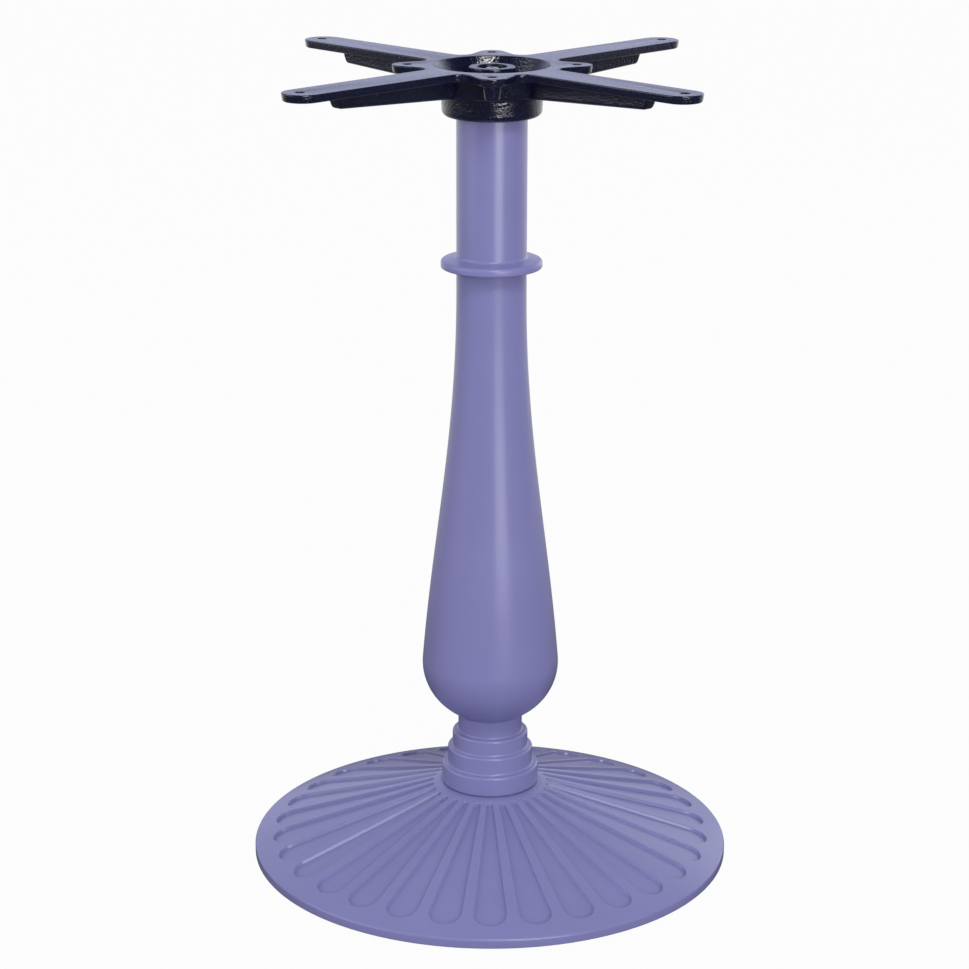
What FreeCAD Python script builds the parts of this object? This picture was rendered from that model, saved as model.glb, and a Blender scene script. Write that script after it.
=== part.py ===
import FreeCAD, Part
import math
import os

# Pedestal table base in cast iron, in millimetres. The origin is on the floor under the column, +Z is up,
# and the four arms of the spider point along the diagonals. A tie rod down the hollow column clamps the
# spider, the column and the fluted base together, and four levelling feet screw in under the base.

# Overall
TOTAL_HEIGHT = 720.0          # floor to the face that carries the table top

# Fluted base
RIM_RADIUS = 214.4
RIM_LIFT = 5.0                # the rim's lower edge above the floor
RIM_HEIGHT = 8.4              # upright edge of the rim
RIM_EDGE_ROUND = 2.4
RIM_FOOT_ROUND = 1.2
RIM_WALL = 9.0
DOME_RISE = 55.4              # from the rim's upper corner to the column's seat
DOME_WALL = 7.5
DOME_ROOT_ROUND = 6.0
SEAT_MARGIN = 1.0             # flat of the seat beyond the column's foot
REGISTER_HEIGHT = 4.0         # spigot that centres the column
REGISTER_CLEARANCE = 0.3
REGISTER_CHAMFER_ROUND = 1.0

# Flutes
FLUTE_COUNT = 30
FLUTE_START = -90.0           # one flute faces the front
FLUTE_DEPTH = 2.7
FLUTE_FLOOR_ROUND = 2.2
FLUTE_OUTER_ROUND = 14.0
FLUTE_INNER_ROUND = 2.6
FLUTE_OUTER_BORDER = 16.4     # plain border between the flutes and the rim
FLUTE_INNER_BORDER = 6.9      # plain border between the flutes and the seat

# Underside of the base
CENTRE_BOSS_RADIUS = 24.0
CENTRE_BOSS_DEPTH = 34.0      # from the seat down to the face under the tie rod's lower washer
CENTRE_BOSS_DRAFT = 2.0
CENTRE_BOSS_ROUND = 2.0
RIB_COUNT = 8
RIB_THICKNESS = 6.0
RIB_LIFT = 6.0                # the ribs' lower edge above the rim's lower edge

# Column, upwards from its seat
FOOT_STEPS = ((43.5, 18.6), (38.2, 16.6), (33.9, 14.9))   # radius and height of each step
FOOT_WALL = 7.0
FOOT_BORE_HEIGHT = 10.0
STEP_EDGE_ROUND = 2.3
STEP_ROOT_ROUND = 1.9
FOOT_EDGE_ROUND = 0.8
FOOT_GAP = 1.3                # shadow gap under the foot's outer edge
FOOT_GAP_DEPTH = 2.6
NECK_RADIUS = 28.7
NECK_HEIGHT = 16.5
NECK_ROUND = 3.0
BULB_RADIUS = 60.85
BULB_FLATTENING = 5.3         # how much lower than round the bulb's half is
BULB_EXIT_ANGLE = 4.3         # where the taper leaves the bulb, above its equator
BULB_HANDLE = 0.356           # pull of the taper's curve at the bulb, as a share of the taper
TUBE_HANDLE = 0.388           # and at the tube
TUBE_RADIUS = 30.4
TUBE_BELOW_RING = 20.8
RING_RADIUS = 43.9
RING_EDGE_HEIGHT = 6.8
RING_CROWN = 2.0              # rise of the ring's upper face from its edge to the tube
RING_EDGE_ROUND = 3.0
RING_UNDER_ROUND = 1.4
RING_BELOW_HUB = 131.1
COLUMN_WALL = 6.0
COLUMN_TOP_ROUND = 0.8

# Spider
ARM_HOLE_CIRCLE = 215.0       # radius of the four outer screw holes
ARM_TIP_INSET = 2.8           # the tip's rounding is centred this far inside the hole
ARM_TIP_RADIUS = 17.4
ARM_ROOT_RADIUS = 18.5        # half the arm's width at the centre
EAR_HOLE_CIRCLE = 71.4        # radius of the four inner screw holes
EAR_TIP_CIRCLE = 72.6
EAR_TIP_RADIUS = 12.2
EAR_ROOT_RADIUS = 41.0
CORNER_ROUND = 9.5            # between arms and ears
SCREW_HOLE_RADIUS = 4.0
PLATE_THICKNESS = 7.0
PLATE_DRAFT = 1.2             # how far the plate's sides lean in by its lower face
PLATE_EDGE_ROUND = 1.6
ARM_RIB_THICKNESS = 13.0
ARM_RIB_ROUND = 3.0
ARM_RIB_END = 181.5           # where the rib's sloping end meets the plate
ARM_RIB_END_SLOPE = 5.0
ARM_RIB_TIP_DEPTH = 17.3      # below the top face
ARM_RIB_HUB_DEPTH = 23.5
EAR_BOSS_TOP_RADIUS = 8.6
EAR_BOSS_END_RADIUS = 6.2
EAR_BOSS_DEPTH = 19.2         # below the top face
DRUM_RADIUS = 51.0
DRUM_DRAFT = 4.0
DRUM_ROUND = 2.0
HUB_RADIUS = 43.5
HUB_DRAFT = 0.9
HUB_EDGE_ROUND = 5.5
HUB_ROOT_ROUND = 2.0
DISH_RADIUS = 48.5
DISH_LIP_ROUND = 1.5
DISH_FLOOR_RADIUS = 39.0
DISH_FLOOR_ROUND = 4.0
DISH_RISE = 1.5               # the dish's floor above the counterbore's
BOSS_DROP = 1.6               # the central boss below the top face
BOSS_WALL = 6.9
BOSS_DRAFT = 1.0
BOSS_EDGE_ROUND = 0.8
COUNTERBORE_CLEARANCE = 0.9   # round the washer
WEB_THICKNESS = 8.0           # between the counterbore and the column's end
SOCKET_DEPTH = 13.6
SOCKET_CLEARANCE = 0.3

# Tie rod, nuts and washers
ROD_RADIUS = 6.0
ROD_CLEARANCE = 0.75
ROD_CHAMFER = 1.2
ROD_CENTRE_RADIUS = 2.0
ROD_CENTRE_DEPTH = 2.4
ROD_STICK_OUT = 3.7           # past the upper nut
ROD_BELOW_BOSS = 1.2          # the rod's upper end below the boss
ROD_TAIL = 5.0                # past the lower nut
NUT_ACROSS_FLATS = 19.0
NUT_HEIGHT = 10.0
THREAD_CLEARANCE = 0.05
WASHER_RADIUS = 12.0
WASHER_THICKNESS = 2.5
BASE_WASHER_RADIUS = 20.0
BASE_WASHER_THICKNESS = 4.0
SPRING_RADIUS = 10.5
SPRING_THICKNESS = 2.5
SPRING_GAP = 1.4
WASHER_CLEARANCE = 0.5

# Levelling feet
FOOT_COUNT = 4
FOOT_START = 45.0
FOOT_INSET = 42.4             # from the rim to the foot's axis
FOOT_BOSS_RADIUS = 12.0
FOOT_SKIN = 3.2               # iron left between the tapped hole and the flutes
PAD_RADIUS = 13.0
PAD_HEIGHT = 8.0
PAD_EDGE_ROUND = 1.5
BOLT_RADIUS = 4.0
BOLT_CHAMFER = 0.8
BOLT_HEAD_FLATS = 13.0
BOLT_HEAD_HEIGHT = 5.0
BOLT_FIT = 0.06               # radial play of the bolt in its tapped hole
HEAD_FIT = 0.05               # play of the bolt's head in the pad
BOLT_END_GAP = 1.0            # above the bolt in its hole

# Heights that follow from the driving sizes
RIM_CORNER_Z = RIM_LIFT + RIM_HEIGHT
SEAT_Z = RIM_CORNER_Z + DOME_RISE
BASE_FACE_Z = SEAT_Z - CENTRE_BOSS_DEPTH
BOSS_TOP_Z = TOTAL_HEIGHT - BOSS_DROP
ROD_TOP_Z = BOSS_TOP_Z - ROD_BELOW_BOSS
TOP_NUT_Z = ROD_TOP_Z - ROD_STICK_OUT - NUT_HEIGHT
TOP_SPRING_Z = TOP_NUT_Z - SPRING_THICKNESS
COUNTERBORE_Z = TOP_SPRING_Z - WASHER_THICKNESS
COLUMN_TOP_Z = COUNTERBORE_Z - WEB_THICKNESS
HUB_BOTTOM_Z = COLUMN_TOP_Z - SOCKET_DEPTH
RING_Z = HUB_BOTTOM_Z - RING_BELOW_HUB
TAPER_TOP_Z = RING_Z - TUBE_BELOW_RING
BASE_WASHER_Z = BASE_FACE_Z - BASE_WASHER_THICKNESS
BASE_SPRING_Z = BASE_WASHER_Z - SPRING_THICKNESS
BASE_NUT_Z = BASE_SPRING_Z - NUT_HEIGHT
ROD_BOTTOM_Z = BASE_NUT_Z - ROD_TAIL

# Radii that follow from the driving sizes
FOOT_RADIUS = FOOT_STEPS[0][0]
FOOT_BORE = FOOT_RADIUS - FOOT_WALL
SEAT_RADIUS = FOOT_RADIUS + SEAT_MARGIN
TUBE_BORE = TUBE_RADIUS - COLUMN_WALL
NECK_BORE = NECK_RADIUS - COLUMN_WALL
ROD_HOLE = ROD_RADIUS + ROD_CLEARANCE
COUNTERBORE_RADIUS = WASHER_RADIUS + COUNTERBORE_CLEARANCE
BOSS_RADIUS = COUNTERBORE_RADIUS + BOSS_WALL
FOOT_CIRCLE = RIM_RADIUS - FOOT_INSET
BOLT_HOLE = BOLT_RADIUS + BOLT_FIT

# The dome is a straight cone from the seat to the rim
DOME_SLOPE = DOME_RISE / (RIM_RADIUS - SEAT_RADIUS)
DOME_ANGLE = math.atan(DOME_SLOPE)

Z_AXIS = FreeCAD.Vector(0, 0, 1)
ORIGIN = FreeCAD.Vector(0, 0, 0)
MARGIN = 1.0                  # how far cutting tools reach past the faces that they open
SAME = 1e-4                   # sizes closer than this are equal


def dome_z(radius):
    """Height of the dome's upper face at a radius."""
    return RIM_CORNER_Z + (RIM_RADIUS - radius) * DOME_SLOPE


def below_dome_z(radius, thickness):
    """Height of a face that runs parallel to the dome, a thickness below it."""
    return dome_z(radius) - thickness / math.cos(DOME_ANGLE)


def line(start, end):
    """Straight edge between two points."""
    return Part.LineSegment(start, end).toShape()


def rounded_path(corners):
    """Edges of an open path through (radius, height, rounding) corners in the XZ plane."""
    points = [FreeCAD.Vector(radius, 0, height) for radius, height, _ in corners]
    edges = []
    start = points[0]
    for index in range(1, len(points) - 1):
        corner = points[index]
        rounding = corners[index][2]
        back = (points[index - 1] - corner).normalize()
        ahead = (points[index + 1] - corner).normalize()
        half_angle = back.getAngle(ahead) / 2
        reach = rounding / math.tan(half_angle)
        edges.append(line(start, corner + back * reach))
        start = corner + ahead * reach
        if rounding > 0:
            bisector = (back + ahead).normalize()
            middle = corner + bisector * (rounding / math.sin(half_angle) - rounding)
            edges.append(Part.Arc(corner + back * reach, middle, start).toShape())
    edges.append(line(start, points[-1]))
    return edges


def revolved(edges):
    """Solid of revolution about Z from the edges of a closed outline in the XZ plane."""
    face = Part.Face(Part.Wire(Part.__sortEdges__(edges)))
    return face.revolve(ORIGIN, Z_AXIS, 360)


def lathe(corners):
    """Solid of revolution about Z from a closed run of (radius, height, rounding) corners."""
    return revolved(rounded_path(corners + [corners[0]]))


def turned(shape, angle):
    """Copy of a shape turned about Z by an angle in degrees."""
    copy = shape.copy()
    copy.rotate(ORIGIN, Z_AXIS, angle)
    return copy


def around(shape, count, start):
    """Copies of a shape, evenly spaced about Z."""
    return [turned(shape, start + 360.0 / count * index) for index in range(count)]


def cylinder(radius, bottom, top, x=0.0):
    """Upright cylinder between two heights, with its axis at x."""
    return Part.makeCylinder(radius, top - bottom, FreeCAD.Vector(x, 0, bottom))


def tapered_slot(near_x, near_radius, far_x, far_radius, z):
    """Flat outline of two circles on the X axis and the lines that touch them both."""
    lean = (near_radius - far_radius) / (far_x - near_x)
    spread = math.sqrt(1 - lean * lean)
    near_touch = FreeCAD.Vector(near_x + near_radius * lean, near_radius * spread, z)
    far_touch = FreeCAD.Vector(far_x + far_radius * lean, far_radius * spread, z)
    near_mirror = FreeCAD.Vector(near_touch.x, -near_touch.y, z)
    far_mirror = FreeCAD.Vector(far_touch.x, -far_touch.y, z)
    near_end = FreeCAD.Vector(near_x - near_radius, 0, z)
    far_end = FreeCAD.Vector(far_x + far_radius, 0, z)
    return Part.Wire([
        line(near_touch, far_touch),
        Part.Arc(far_touch, far_end, far_mirror).toShape(),
        line(far_mirror, near_mirror),
        Part.Arc(near_mirror, near_end, near_touch).toShape(),
    ])


def flute_cutter():
    """Tool that sinks one flute into the dome along +X: a tapered slot with a rounded floor."""
    outer_x = RIM_RADIUS - FLUTE_OUTER_BORDER
    inner_x = SEAT_RADIUS + FLUTE_INNER_BORDER
    length = (outer_x - inner_x) / math.cos(DOME_ANGLE)
    floor = tapered_slot(FLUTE_INNER_ROUND, FLUTE_INNER_ROUND,
                         length - FLUTE_OUTER_ROUND, FLUTE_OUTER_ROUND, -FLUTE_DEPTH)
    height = FLUTE_DEPTH + 4 * MARGIN
    cutter = Part.Face(floor).extrude(Z_AXIS * height)
    floor_edges = [edge for edge in cutter.Edges if edge.BoundBox.ZMax < MARGIN - FLUTE_DEPTH]
    cutter = cutter.makeFillet(FLUTE_FLOOR_ROUND, floor_edges)
    cutter.rotate(ORIGIN, FreeCAD.Vector(0, 1, 0), math.degrees(DOME_ANGLE))
    cutter.translate(FreeCAD.Vector(inner_x, 0, dome_z(inner_x)))
    return cutter


def fluted_base():
    """Base casting: a fluted cone over a hollow, ribbed underside."""
    inner_rim = RIM_RADIUS - RIM_WALL
    boss_root = CENTRE_BOSS_RADIUS + CENTRE_BOSS_DRAFT
    register = FOOT_BORE - REGISTER_CLEARANCE
    body = lathe([
        (ROD_HOLE, SEAT_Z + REGISTER_HEIGHT, 0),
        (register, SEAT_Z + REGISTER_HEIGHT, REGISTER_CHAMFER_ROUND),
        (register, SEAT_Z, 0),
        (SEAT_RADIUS, SEAT_Z, 0),
        (RIM_RADIUS, RIM_CORNER_Z, RIM_EDGE_ROUND),
        (RIM_RADIUS, RIM_LIFT, RIM_FOOT_ROUND),
        (inner_rim, RIM_LIFT, 0),
        (inner_rim, below_dome_z(inner_rim, DOME_WALL), 0),
        (boss_root, below_dome_z(boss_root, DOME_WALL), DOME_ROOT_ROUND),
        (CENTRE_BOSS_RADIUS, BASE_FACE_Z, CENTRE_BOSS_ROUND),
        (ROD_HOLE, BASE_FACE_Z, 0),
    ])
    body = body.cut(around(flute_cutter(), FLUTE_COUNT, FLUTE_START))

    # Ribs and foot bosses reach half-way into the dome's wall
    half_wall = lathe([
        (ROD_HOLE + MARGIN, 0, 0),
        (RIM_RADIUS - RIM_WALL / 2, 0, 0),
        (RIM_RADIUS - RIM_WALL / 2, below_dome_z(RIM_RADIUS - RIM_WALL / 2, DOME_WALL / 2), 0),
        (ROD_HOLE + MARGIN, below_dome_z(ROD_HOLE + MARGIN, DOME_WALL / 2), 0),
    ])
    boss_inside = CENTRE_BOSS_RADIUS / 2
    rib_low = RIM_LIFT + RIB_LIFT
    rib_outline = Part.makePolygon([
        FreeCAD.Vector(boss_inside, 0, BASE_FACE_Z + CENTRE_BOSS_ROUND),
        FreeCAD.Vector(CENTRE_BOSS_RADIUS, 0, BASE_FACE_Z + CENTRE_BOSS_ROUND),
        FreeCAD.Vector(inner_rim, 0, rib_low),
        FreeCAD.Vector(RIM_RADIUS, 0, rib_low),
        FreeCAD.Vector(RIM_RADIUS, 0, SEAT_Z),
        FreeCAD.Vector(boss_inside, 0, SEAT_Z),
        FreeCAD.Vector(boss_inside, 0, BASE_FACE_Z + CENTRE_BOSS_ROUND),
    ])
    rib = Part.Face(rib_outline).extrude(FreeCAD.Vector(0, RIB_THICKNESS, 0))
    rib.translate(FreeCAD.Vector(0, -RIB_THICKNESS / 2, 0))
    foot_boss = cylinder(FOOT_BOSS_RADIUS, PAD_HEIGHT, SEAT_Z, FOOT_CIRCLE)
    stiffeners = around(rib, RIB_COUNT, 0) + around(foot_boss, FOOT_COUNT, FOOT_START)
    body = body.fuse([piece.common(half_wall) for piece in stiffeners])

    hole = cylinder(BOLT_HOLE, PAD_HEIGHT - MARGIN, foot_hole_top_z(), FOOT_CIRCLE)
    return body.cut(around(hole, FOOT_COUNT, FOOT_START)).removeSplitter()


def foot_hole_top_z():
    """Height at which the tapped hole of a levelling foot ends, under the flutes."""
    return below_dome_z(FOOT_CIRCLE + BOLT_HOLE, FLUTE_DEPTH + FOOT_SKIN)


def bulb_half_height(bulb_radius):
    """Half the height of the flattened bulb, which keeps one wall between its outside and its core."""
    return bulb_radius - BULB_FLATTENING


def bulb_drop(bulb_radius, neck_radius):
    """How far below the bulb's equator it has narrowed to the neck."""
    return bulb_half_height(bulb_radius) * math.sqrt(1 - (neck_radius / bulb_radius) ** 2)


def taper_edge(bulb_centre, bulb_radius, tube_radius):
    """Curve from the bulb up to the straight tube, smooth at both ends."""
    angle = math.radians(BULB_EXIT_ANGLE)
    across = bulb_radius * math.sin(angle)
    upward = bulb_half_height(bulb_radius) * math.cos(angle)
    leave = FreeCAD.Vector(bulb_radius * math.cos(angle), 0,
                           bulb_centre + bulb_half_height(bulb_radius) * math.sin(angle))
    arrive = FreeCAD.Vector(tube_radius, 0, TAPER_TOP_Z)
    run = TAPER_TOP_Z - bulb_centre
    bulb_pull = FreeCAD.Vector(-across, 0, upward).normalize() * (BULB_HANDLE * run)
    curve = Part.BezierCurve()
    curve.setPoles([leave, leave + bulb_pull, arrive - Z_AXIS * (TUBE_HANDLE * run), arrive])
    return curve.toShape()


def bulb_edge(bulb_centre, bulb_radius, neck_radius):
    """Elliptic arc of the bulb from the neck to where the taper leaves it."""
    centre = FreeCAD.Vector(0, 0, bulb_centre)
    side = FreeCAD.Vector(bulb_radius, 0, bulb_centre)
    crown = FreeCAD.Vector(0, 0, bulb_centre + bulb_half_height(bulb_radius))
    low_angle = -math.acos(neck_radius / bulb_radius)
    return Part.ArcOfEllipse(Part.Ellipse(side, crown, centre), low_angle, math.radians(BULB_EXIT_ANGLE)).toShape()


def column():
    """Column casting: stepped foot, neck, bulb, taper, ring and tube, hollow all the way up."""
    # Stepped foot, from the bore's lower edge out and up to the neck
    land = FOOT_RADIUS - FOOT_GAP_DEPTH
    outside = [(FOOT_BORE, SEAT_Z, 0), (land, SEAT_Z, 0), (land, SEAT_Z + FOOT_GAP, 0),
               (FOOT_RADIUS, SEAT_Z + FOOT_GAP, FOOT_EDGE_ROUND)]
    tread_z = SEAT_Z
    next_radii = [radius for radius, _ in FOOT_STEPS[1:]] + [NECK_RADIUS]
    for (radius, height), next_radius in zip(FOOT_STEPS, next_radii):
        tread_z += height
        outside += [(radius, tread_z, STEP_EDGE_ROUND), (next_radius, tread_z, STEP_ROOT_ROUND)]
    neck_top = tread_z + NECK_HEIGHT
    outside.append((NECK_RADIUS, neck_top, 0))
    bulb_centre = neck_top + bulb_drop(BULB_RADIUS, NECK_RADIUS)

    # Ring and tube
    ring_edge_z = RING_Z + RING_EDGE_HEIGHT
    upper = rounded_path([
        (TUBE_RADIUS, TAPER_TOP_Z, 0),
        (TUBE_RADIUS, RING_Z, RING_UNDER_ROUND),
        (RING_RADIUS, RING_Z, RING_UNDER_ROUND),
        (RING_RADIUS, ring_edge_z, RING_EDGE_ROUND),
        (TUBE_RADIUS, ring_edge_z + RING_CROWN, RING_EDGE_ROUND),
        (TUBE_RADIUS, COLUMN_TOP_Z, COLUMN_TOP_ROUND),
        (TUBE_BORE, COLUMN_TOP_Z, 0),
        (TUBE_BORE, TAPER_TOP_Z, 0),
    ])

    # The core leaves one wall thickness in the tube, the bulb and the neck, and flares to the foot's bore
    inner_bulb = BULB_RADIUS - COLUMN_WALL
    inner_neck_top = bulb_centre - bulb_drop(inner_bulb, NECK_BORE)
    core_foot = rounded_path([
        (NECK_BORE, inner_neck_top, 0),
        (NECK_BORE, tread_z - STEP_EDGE_ROUND, 0),
        (FOOT_BORE, SEAT_Z + FOOT_BORE_HEIGHT, 0),
        (FOOT_BORE, SEAT_Z, 0),
    ])
    shape = revolved(
        rounded_path(outside)
        + [bulb_edge(bulb_centre, BULB_RADIUS, NECK_RADIUS), taper_edge(bulb_centre, BULB_RADIUS, TUBE_RADIUS)]
        + upper
        + [taper_edge(bulb_centre, inner_bulb, TUBE_BORE), bulb_edge(bulb_centre, inner_bulb, NECK_BORE)]
        + core_foot
    )
    crease = [edge for edge in shape.Edges if is_ring(edge, NECK_RADIUS, neck_top)]
    return shape.makeFillet(NECK_ROUND, crease)


def is_ring(edge, radius, height):
    """Whether an edge is the circle of a radius and height about Z."""
    box = edge.BoundBox
    flat = abs(box.ZMin - height) < SAME and abs(box.ZMax - height) < SAME
    return flat and isinstance(edge.Curve, Part.Circle) and abs(edge.Curve.Radius - radius) < SAME


def spider_plate():
    """Top plate of the spider: four arms and four ears with drafted sides and rounded corners."""
    bottom = TOTAL_HEIGHT - PLATE_THICKNESS
    limbs = []
    for near_radius, far_x, far_radius, start in (
            (ARM_ROOT_RADIUS, ARM_HOLE_CIRCLE - ARM_TIP_INSET, ARM_TIP_RADIUS, FOOT_START),
            (EAR_ROOT_RADIUS, EAR_TIP_CIRCLE, EAR_TIP_RADIUS, 0.0)):
        upper = tapered_slot(0, near_radius, far_x, far_radius, TOTAL_HEIGHT)
        lower = tapered_slot(0, near_radius - PLATE_DRAFT, far_x, far_radius - PLATE_DRAFT, bottom)
        limbs += around(Part.makeLoft([upper, lower], True, True), 4, start)
    plate = limbs[0].fuse(limbs[1:]).removeSplitter()
    corners = [edge for edge in plate.Edges
               if edge.BoundBox.ZLength > PLATE_THICKNESS / 2
               and math.hypot(edge.CenterOfMass.x, edge.CenterOfMass.y) < EAR_TIP_CIRCLE]
    plate = plate.makeFillet(CORNER_ROUND, corners)
    lower_edges = [edge for edge in plate.Edges if edge.BoundBox.ZMax < bottom + MARGIN]
    return plate.makeFillet(PLATE_EDGE_ROUND, lower_edges)


def arm_rib():
    """Rib under the arm that points along +X, deeper towards the hub."""
    under_plate = TOTAL_HEIGHT - PLATE_THICKNESS / 2
    tip_low = TOTAL_HEIGHT - ARM_RIB_TIP_DEPTH
    hub_low = TOTAL_HEIGHT - ARM_RIB_HUB_DEPTH
    outline = Part.makePolygon([
        FreeCAD.Vector(BOSS_RADIUS, 0, under_plate),
        FreeCAD.Vector(ARM_RIB_END, 0, under_plate),
        FreeCAD.Vector(ARM_RIB_END - ARM_RIB_END_SLOPE, 0, tip_low),
        FreeCAD.Vector(DRUM_RADIUS, 0, hub_low),
        FreeCAD.Vector(BOSS_RADIUS, 0, hub_low),
        FreeCAD.Vector(BOSS_RADIUS, 0, under_plate),
    ])
    rib = Part.Face(outline).extrude(FreeCAD.Vector(0, ARM_RIB_THICKNESS, 0))
    rib.translate(FreeCAD.Vector(0, -ARM_RIB_THICKNESS / 2, 0))
    low_edges = [edge for edge in rib.Edges
                 if edge.BoundBox.YLength < MARGIN and edge.BoundBox.ZMax < tip_low + MARGIN]
    return rib.makeFillet(ARM_RIB_ROUND, low_edges)


def spider():
    """Spider casting: ribbed plate, drum and hub with a socket for the column and a dish with a central boss."""
    drum_bottom = TOTAL_HEIGHT - ARM_RIB_HUB_DEPTH
    hub = lathe([
        (0, TOTAL_HEIGHT - MARGIN, 0),
        (DRUM_RADIUS + DRUM_DRAFT, TOTAL_HEIGHT - MARGIN, 0),
        (DRUM_RADIUS, drum_bottom, DRUM_ROUND),
        (HUB_RADIUS, drum_bottom, HUB_ROOT_ROUND),
        (HUB_RADIUS - HUB_DRAFT, HUB_BOTTOM_Z, HUB_EDGE_ROUND),
        (0, HUB_BOTTOM_Z, 0),
    ])
    ear_boss = Part.makeCone(EAR_BOSS_END_RADIUS, EAR_BOSS_TOP_RADIUS, EAR_BOSS_DEPTH - PLATE_THICKNESS / 2,
                             FreeCAD.Vector(EAR_HOLE_CIRCLE, 0, TOTAL_HEIGHT - EAR_BOSS_DEPTH))
    body = spider_plate().fuse([hub] + around(arm_rib(), 4, FOOT_START) + around(ear_boss, 4, 0.0))

    dish_floor = COUNTERBORE_Z + DISH_RISE
    dish = lathe([
        (0, TOTAL_HEIGHT + MARGIN, 0),
        (DISH_RADIUS + DISH_LIP_ROUND, TOTAL_HEIGHT + MARGIN, 0),
        (DISH_RADIUS + DISH_LIP_ROUND, TOTAL_HEIGHT, 0),
        (DISH_RADIUS, TOTAL_HEIGHT - DISH_LIP_ROUND, 0),
        (DISH_FLOOR_RADIUS, dish_floor, DISH_FLOOR_ROUND),
        (BOSS_RADIUS + BOSS_DRAFT, dish_floor, DISH_FLOOR_ROUND),
        (BOSS_RADIUS, BOSS_TOP_Z, BOSS_EDGE_ROUND),
        (0, BOSS_TOP_Z, 0),
    ])
    screw_depth = TOTAL_HEIGHT - EAR_BOSS_DEPTH - MARGIN
    openings = [
        dish,
        cylinder(COUNTERBORE_RADIUS, COUNTERBORE_Z, TOTAL_HEIGHT),
        cylinder(ROD_HOLE, HUB_BOTTOM_Z, TOTAL_HEIGHT),
        cylinder(TUBE_RADIUS + SOCKET_CLEARANCE, HUB_BOTTOM_Z - MARGIN, COLUMN_TOP_Z),
    ]
    for circle, start in ((ARM_HOLE_CIRCLE, FOOT_START), (EAR_HOLE_CIRCLE, 0.0)):
        openings += around(cylinder(SCREW_HOLE_RADIUS, screw_depth, TOTAL_HEIGHT + MARGIN, circle), 4, start)
    return body.cut(openings).removeSplitter()


def hexagon(across_flats, bottom, height):
    """Hexagonal prism about Z."""
    corner = across_flats / math.sqrt(3)
    points = [FreeCAD.Vector(corner * math.cos(math.radians(60 * side)), corner * math.sin(math.radians(60 * side)),
                             bottom) for side in range(7)]
    return Part.Face(Part.makePolygon(points)).extrude(Z_AXIS * height)


def hex_head(across_flats, bottom, height):
    """Hexagonal prism whose corners are turned off at both faces."""
    corner = across_flats / math.sqrt(3)
    face_radius = across_flats / 2
    fall = (corner - face_radius) * math.tan(math.radians(30))
    limit = lathe([
        (0, bottom, 0),
        (face_radius, bottom, 0),
        (corner, bottom + fall, 0),
        (corner, bottom + height - fall, 0),
        (face_radius, bottom + height, 0),
        (0, bottom + height, 0),
    ])
    return hexagon(across_flats, bottom, height).common(limit)


def nut(bottom):
    """Hexagon nut on the tie rod."""
    bore = cylinder(ROD_RADIUS + THREAD_CLEARANCE, bottom - MARGIN, bottom + NUT_HEIGHT + MARGIN)
    return hex_head(NUT_ACROSS_FLATS, bottom, NUT_HEIGHT).cut(bore)


def washer(radius, thickness, bottom):
    """Flat washer on the tie rod."""
    bore = cylinder(ROD_RADIUS + WASHER_CLEARANCE, bottom - MARGIN, bottom + thickness + MARGIN)
    return cylinder(radius, bottom, bottom + thickness).cut(bore)


def spring_washer(bottom):
    """Split spring washer, pressed flat by its nut."""
    ring = washer(SPRING_RADIUS, SPRING_THICKNESS, bottom)
    split = Part.makeBox(SPRING_RADIUS + MARGIN, SPRING_GAP, SPRING_THICKNESS + 2 * MARGIN,
                         FreeCAD.Vector(0, -SPRING_GAP / 2, bottom - MARGIN))
    return ring.cut(split)


def tie_rod():
    """Threaded rod with chamfered ends and a centre drilled in its upper end."""
    end_radius = ROD_RADIUS - ROD_CHAMFER
    return lathe([
        (0, ROD_BOTTOM_Z, 0),
        (end_radius, ROD_BOTTOM_Z, 0),
        (ROD_RADIUS, ROD_BOTTOM_Z + ROD_CHAMFER, 0),
        (ROD_RADIUS, ROD_TOP_Z - ROD_CHAMFER, 0),
        (end_radius, ROD_TOP_Z, 0),
        (ROD_CENTRE_RADIUS, ROD_TOP_Z, 0),
        (0, ROD_TOP_Z - ROD_CENTRE_DEPTH, 0),
    ])


def levelling_bolt():
    """Bolt of a levelling foot, head down, on the X axis."""
    head_bottom = PAD_HEIGHT - BOLT_HEAD_HEIGHT
    shank_top = foot_hole_top_z() - BOLT_END_GAP
    shank = lathe([
        (0, PAD_HEIGHT, 0),
        (BOLT_RADIUS, PAD_HEIGHT, 0),
        (BOLT_RADIUS, shank_top - BOLT_CHAMFER, 0),
        (BOLT_RADIUS - BOLT_CHAMFER, shank_top, 0),
        (0, shank_top, 0),
    ])
    bolt = hexagon(BOLT_HEAD_FLATS, head_bottom, BOLT_HEAD_HEIGHT).fuse(shank)
    bolt.translate(FreeCAD.Vector(FOOT_CIRCLE, 0, 0))
    return bolt


def glide_pad():
    """Moulded pad pressed over the head of a levelling bolt, on the X axis."""
    disc = lathe([
        (0, 0, 0),
        (PAD_RADIUS, 0, PAD_EDGE_ROUND),
        (PAD_RADIUS, PAD_HEIGHT, PAD_EDGE_ROUND),
        (0, PAD_HEIGHT, 0),
    ])
    recess = hexagon(BOLT_HEAD_FLATS + 2 * HEAD_FIT, PAD_HEIGHT - BOLT_HEAD_HEIGHT, BOLT_HEAD_HEIGHT + MARGIN)
    pad = disc.cut(recess)
    pad.translate(FreeCAD.Vector(FOOT_CIRCLE, 0, 0))
    return pad


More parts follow.
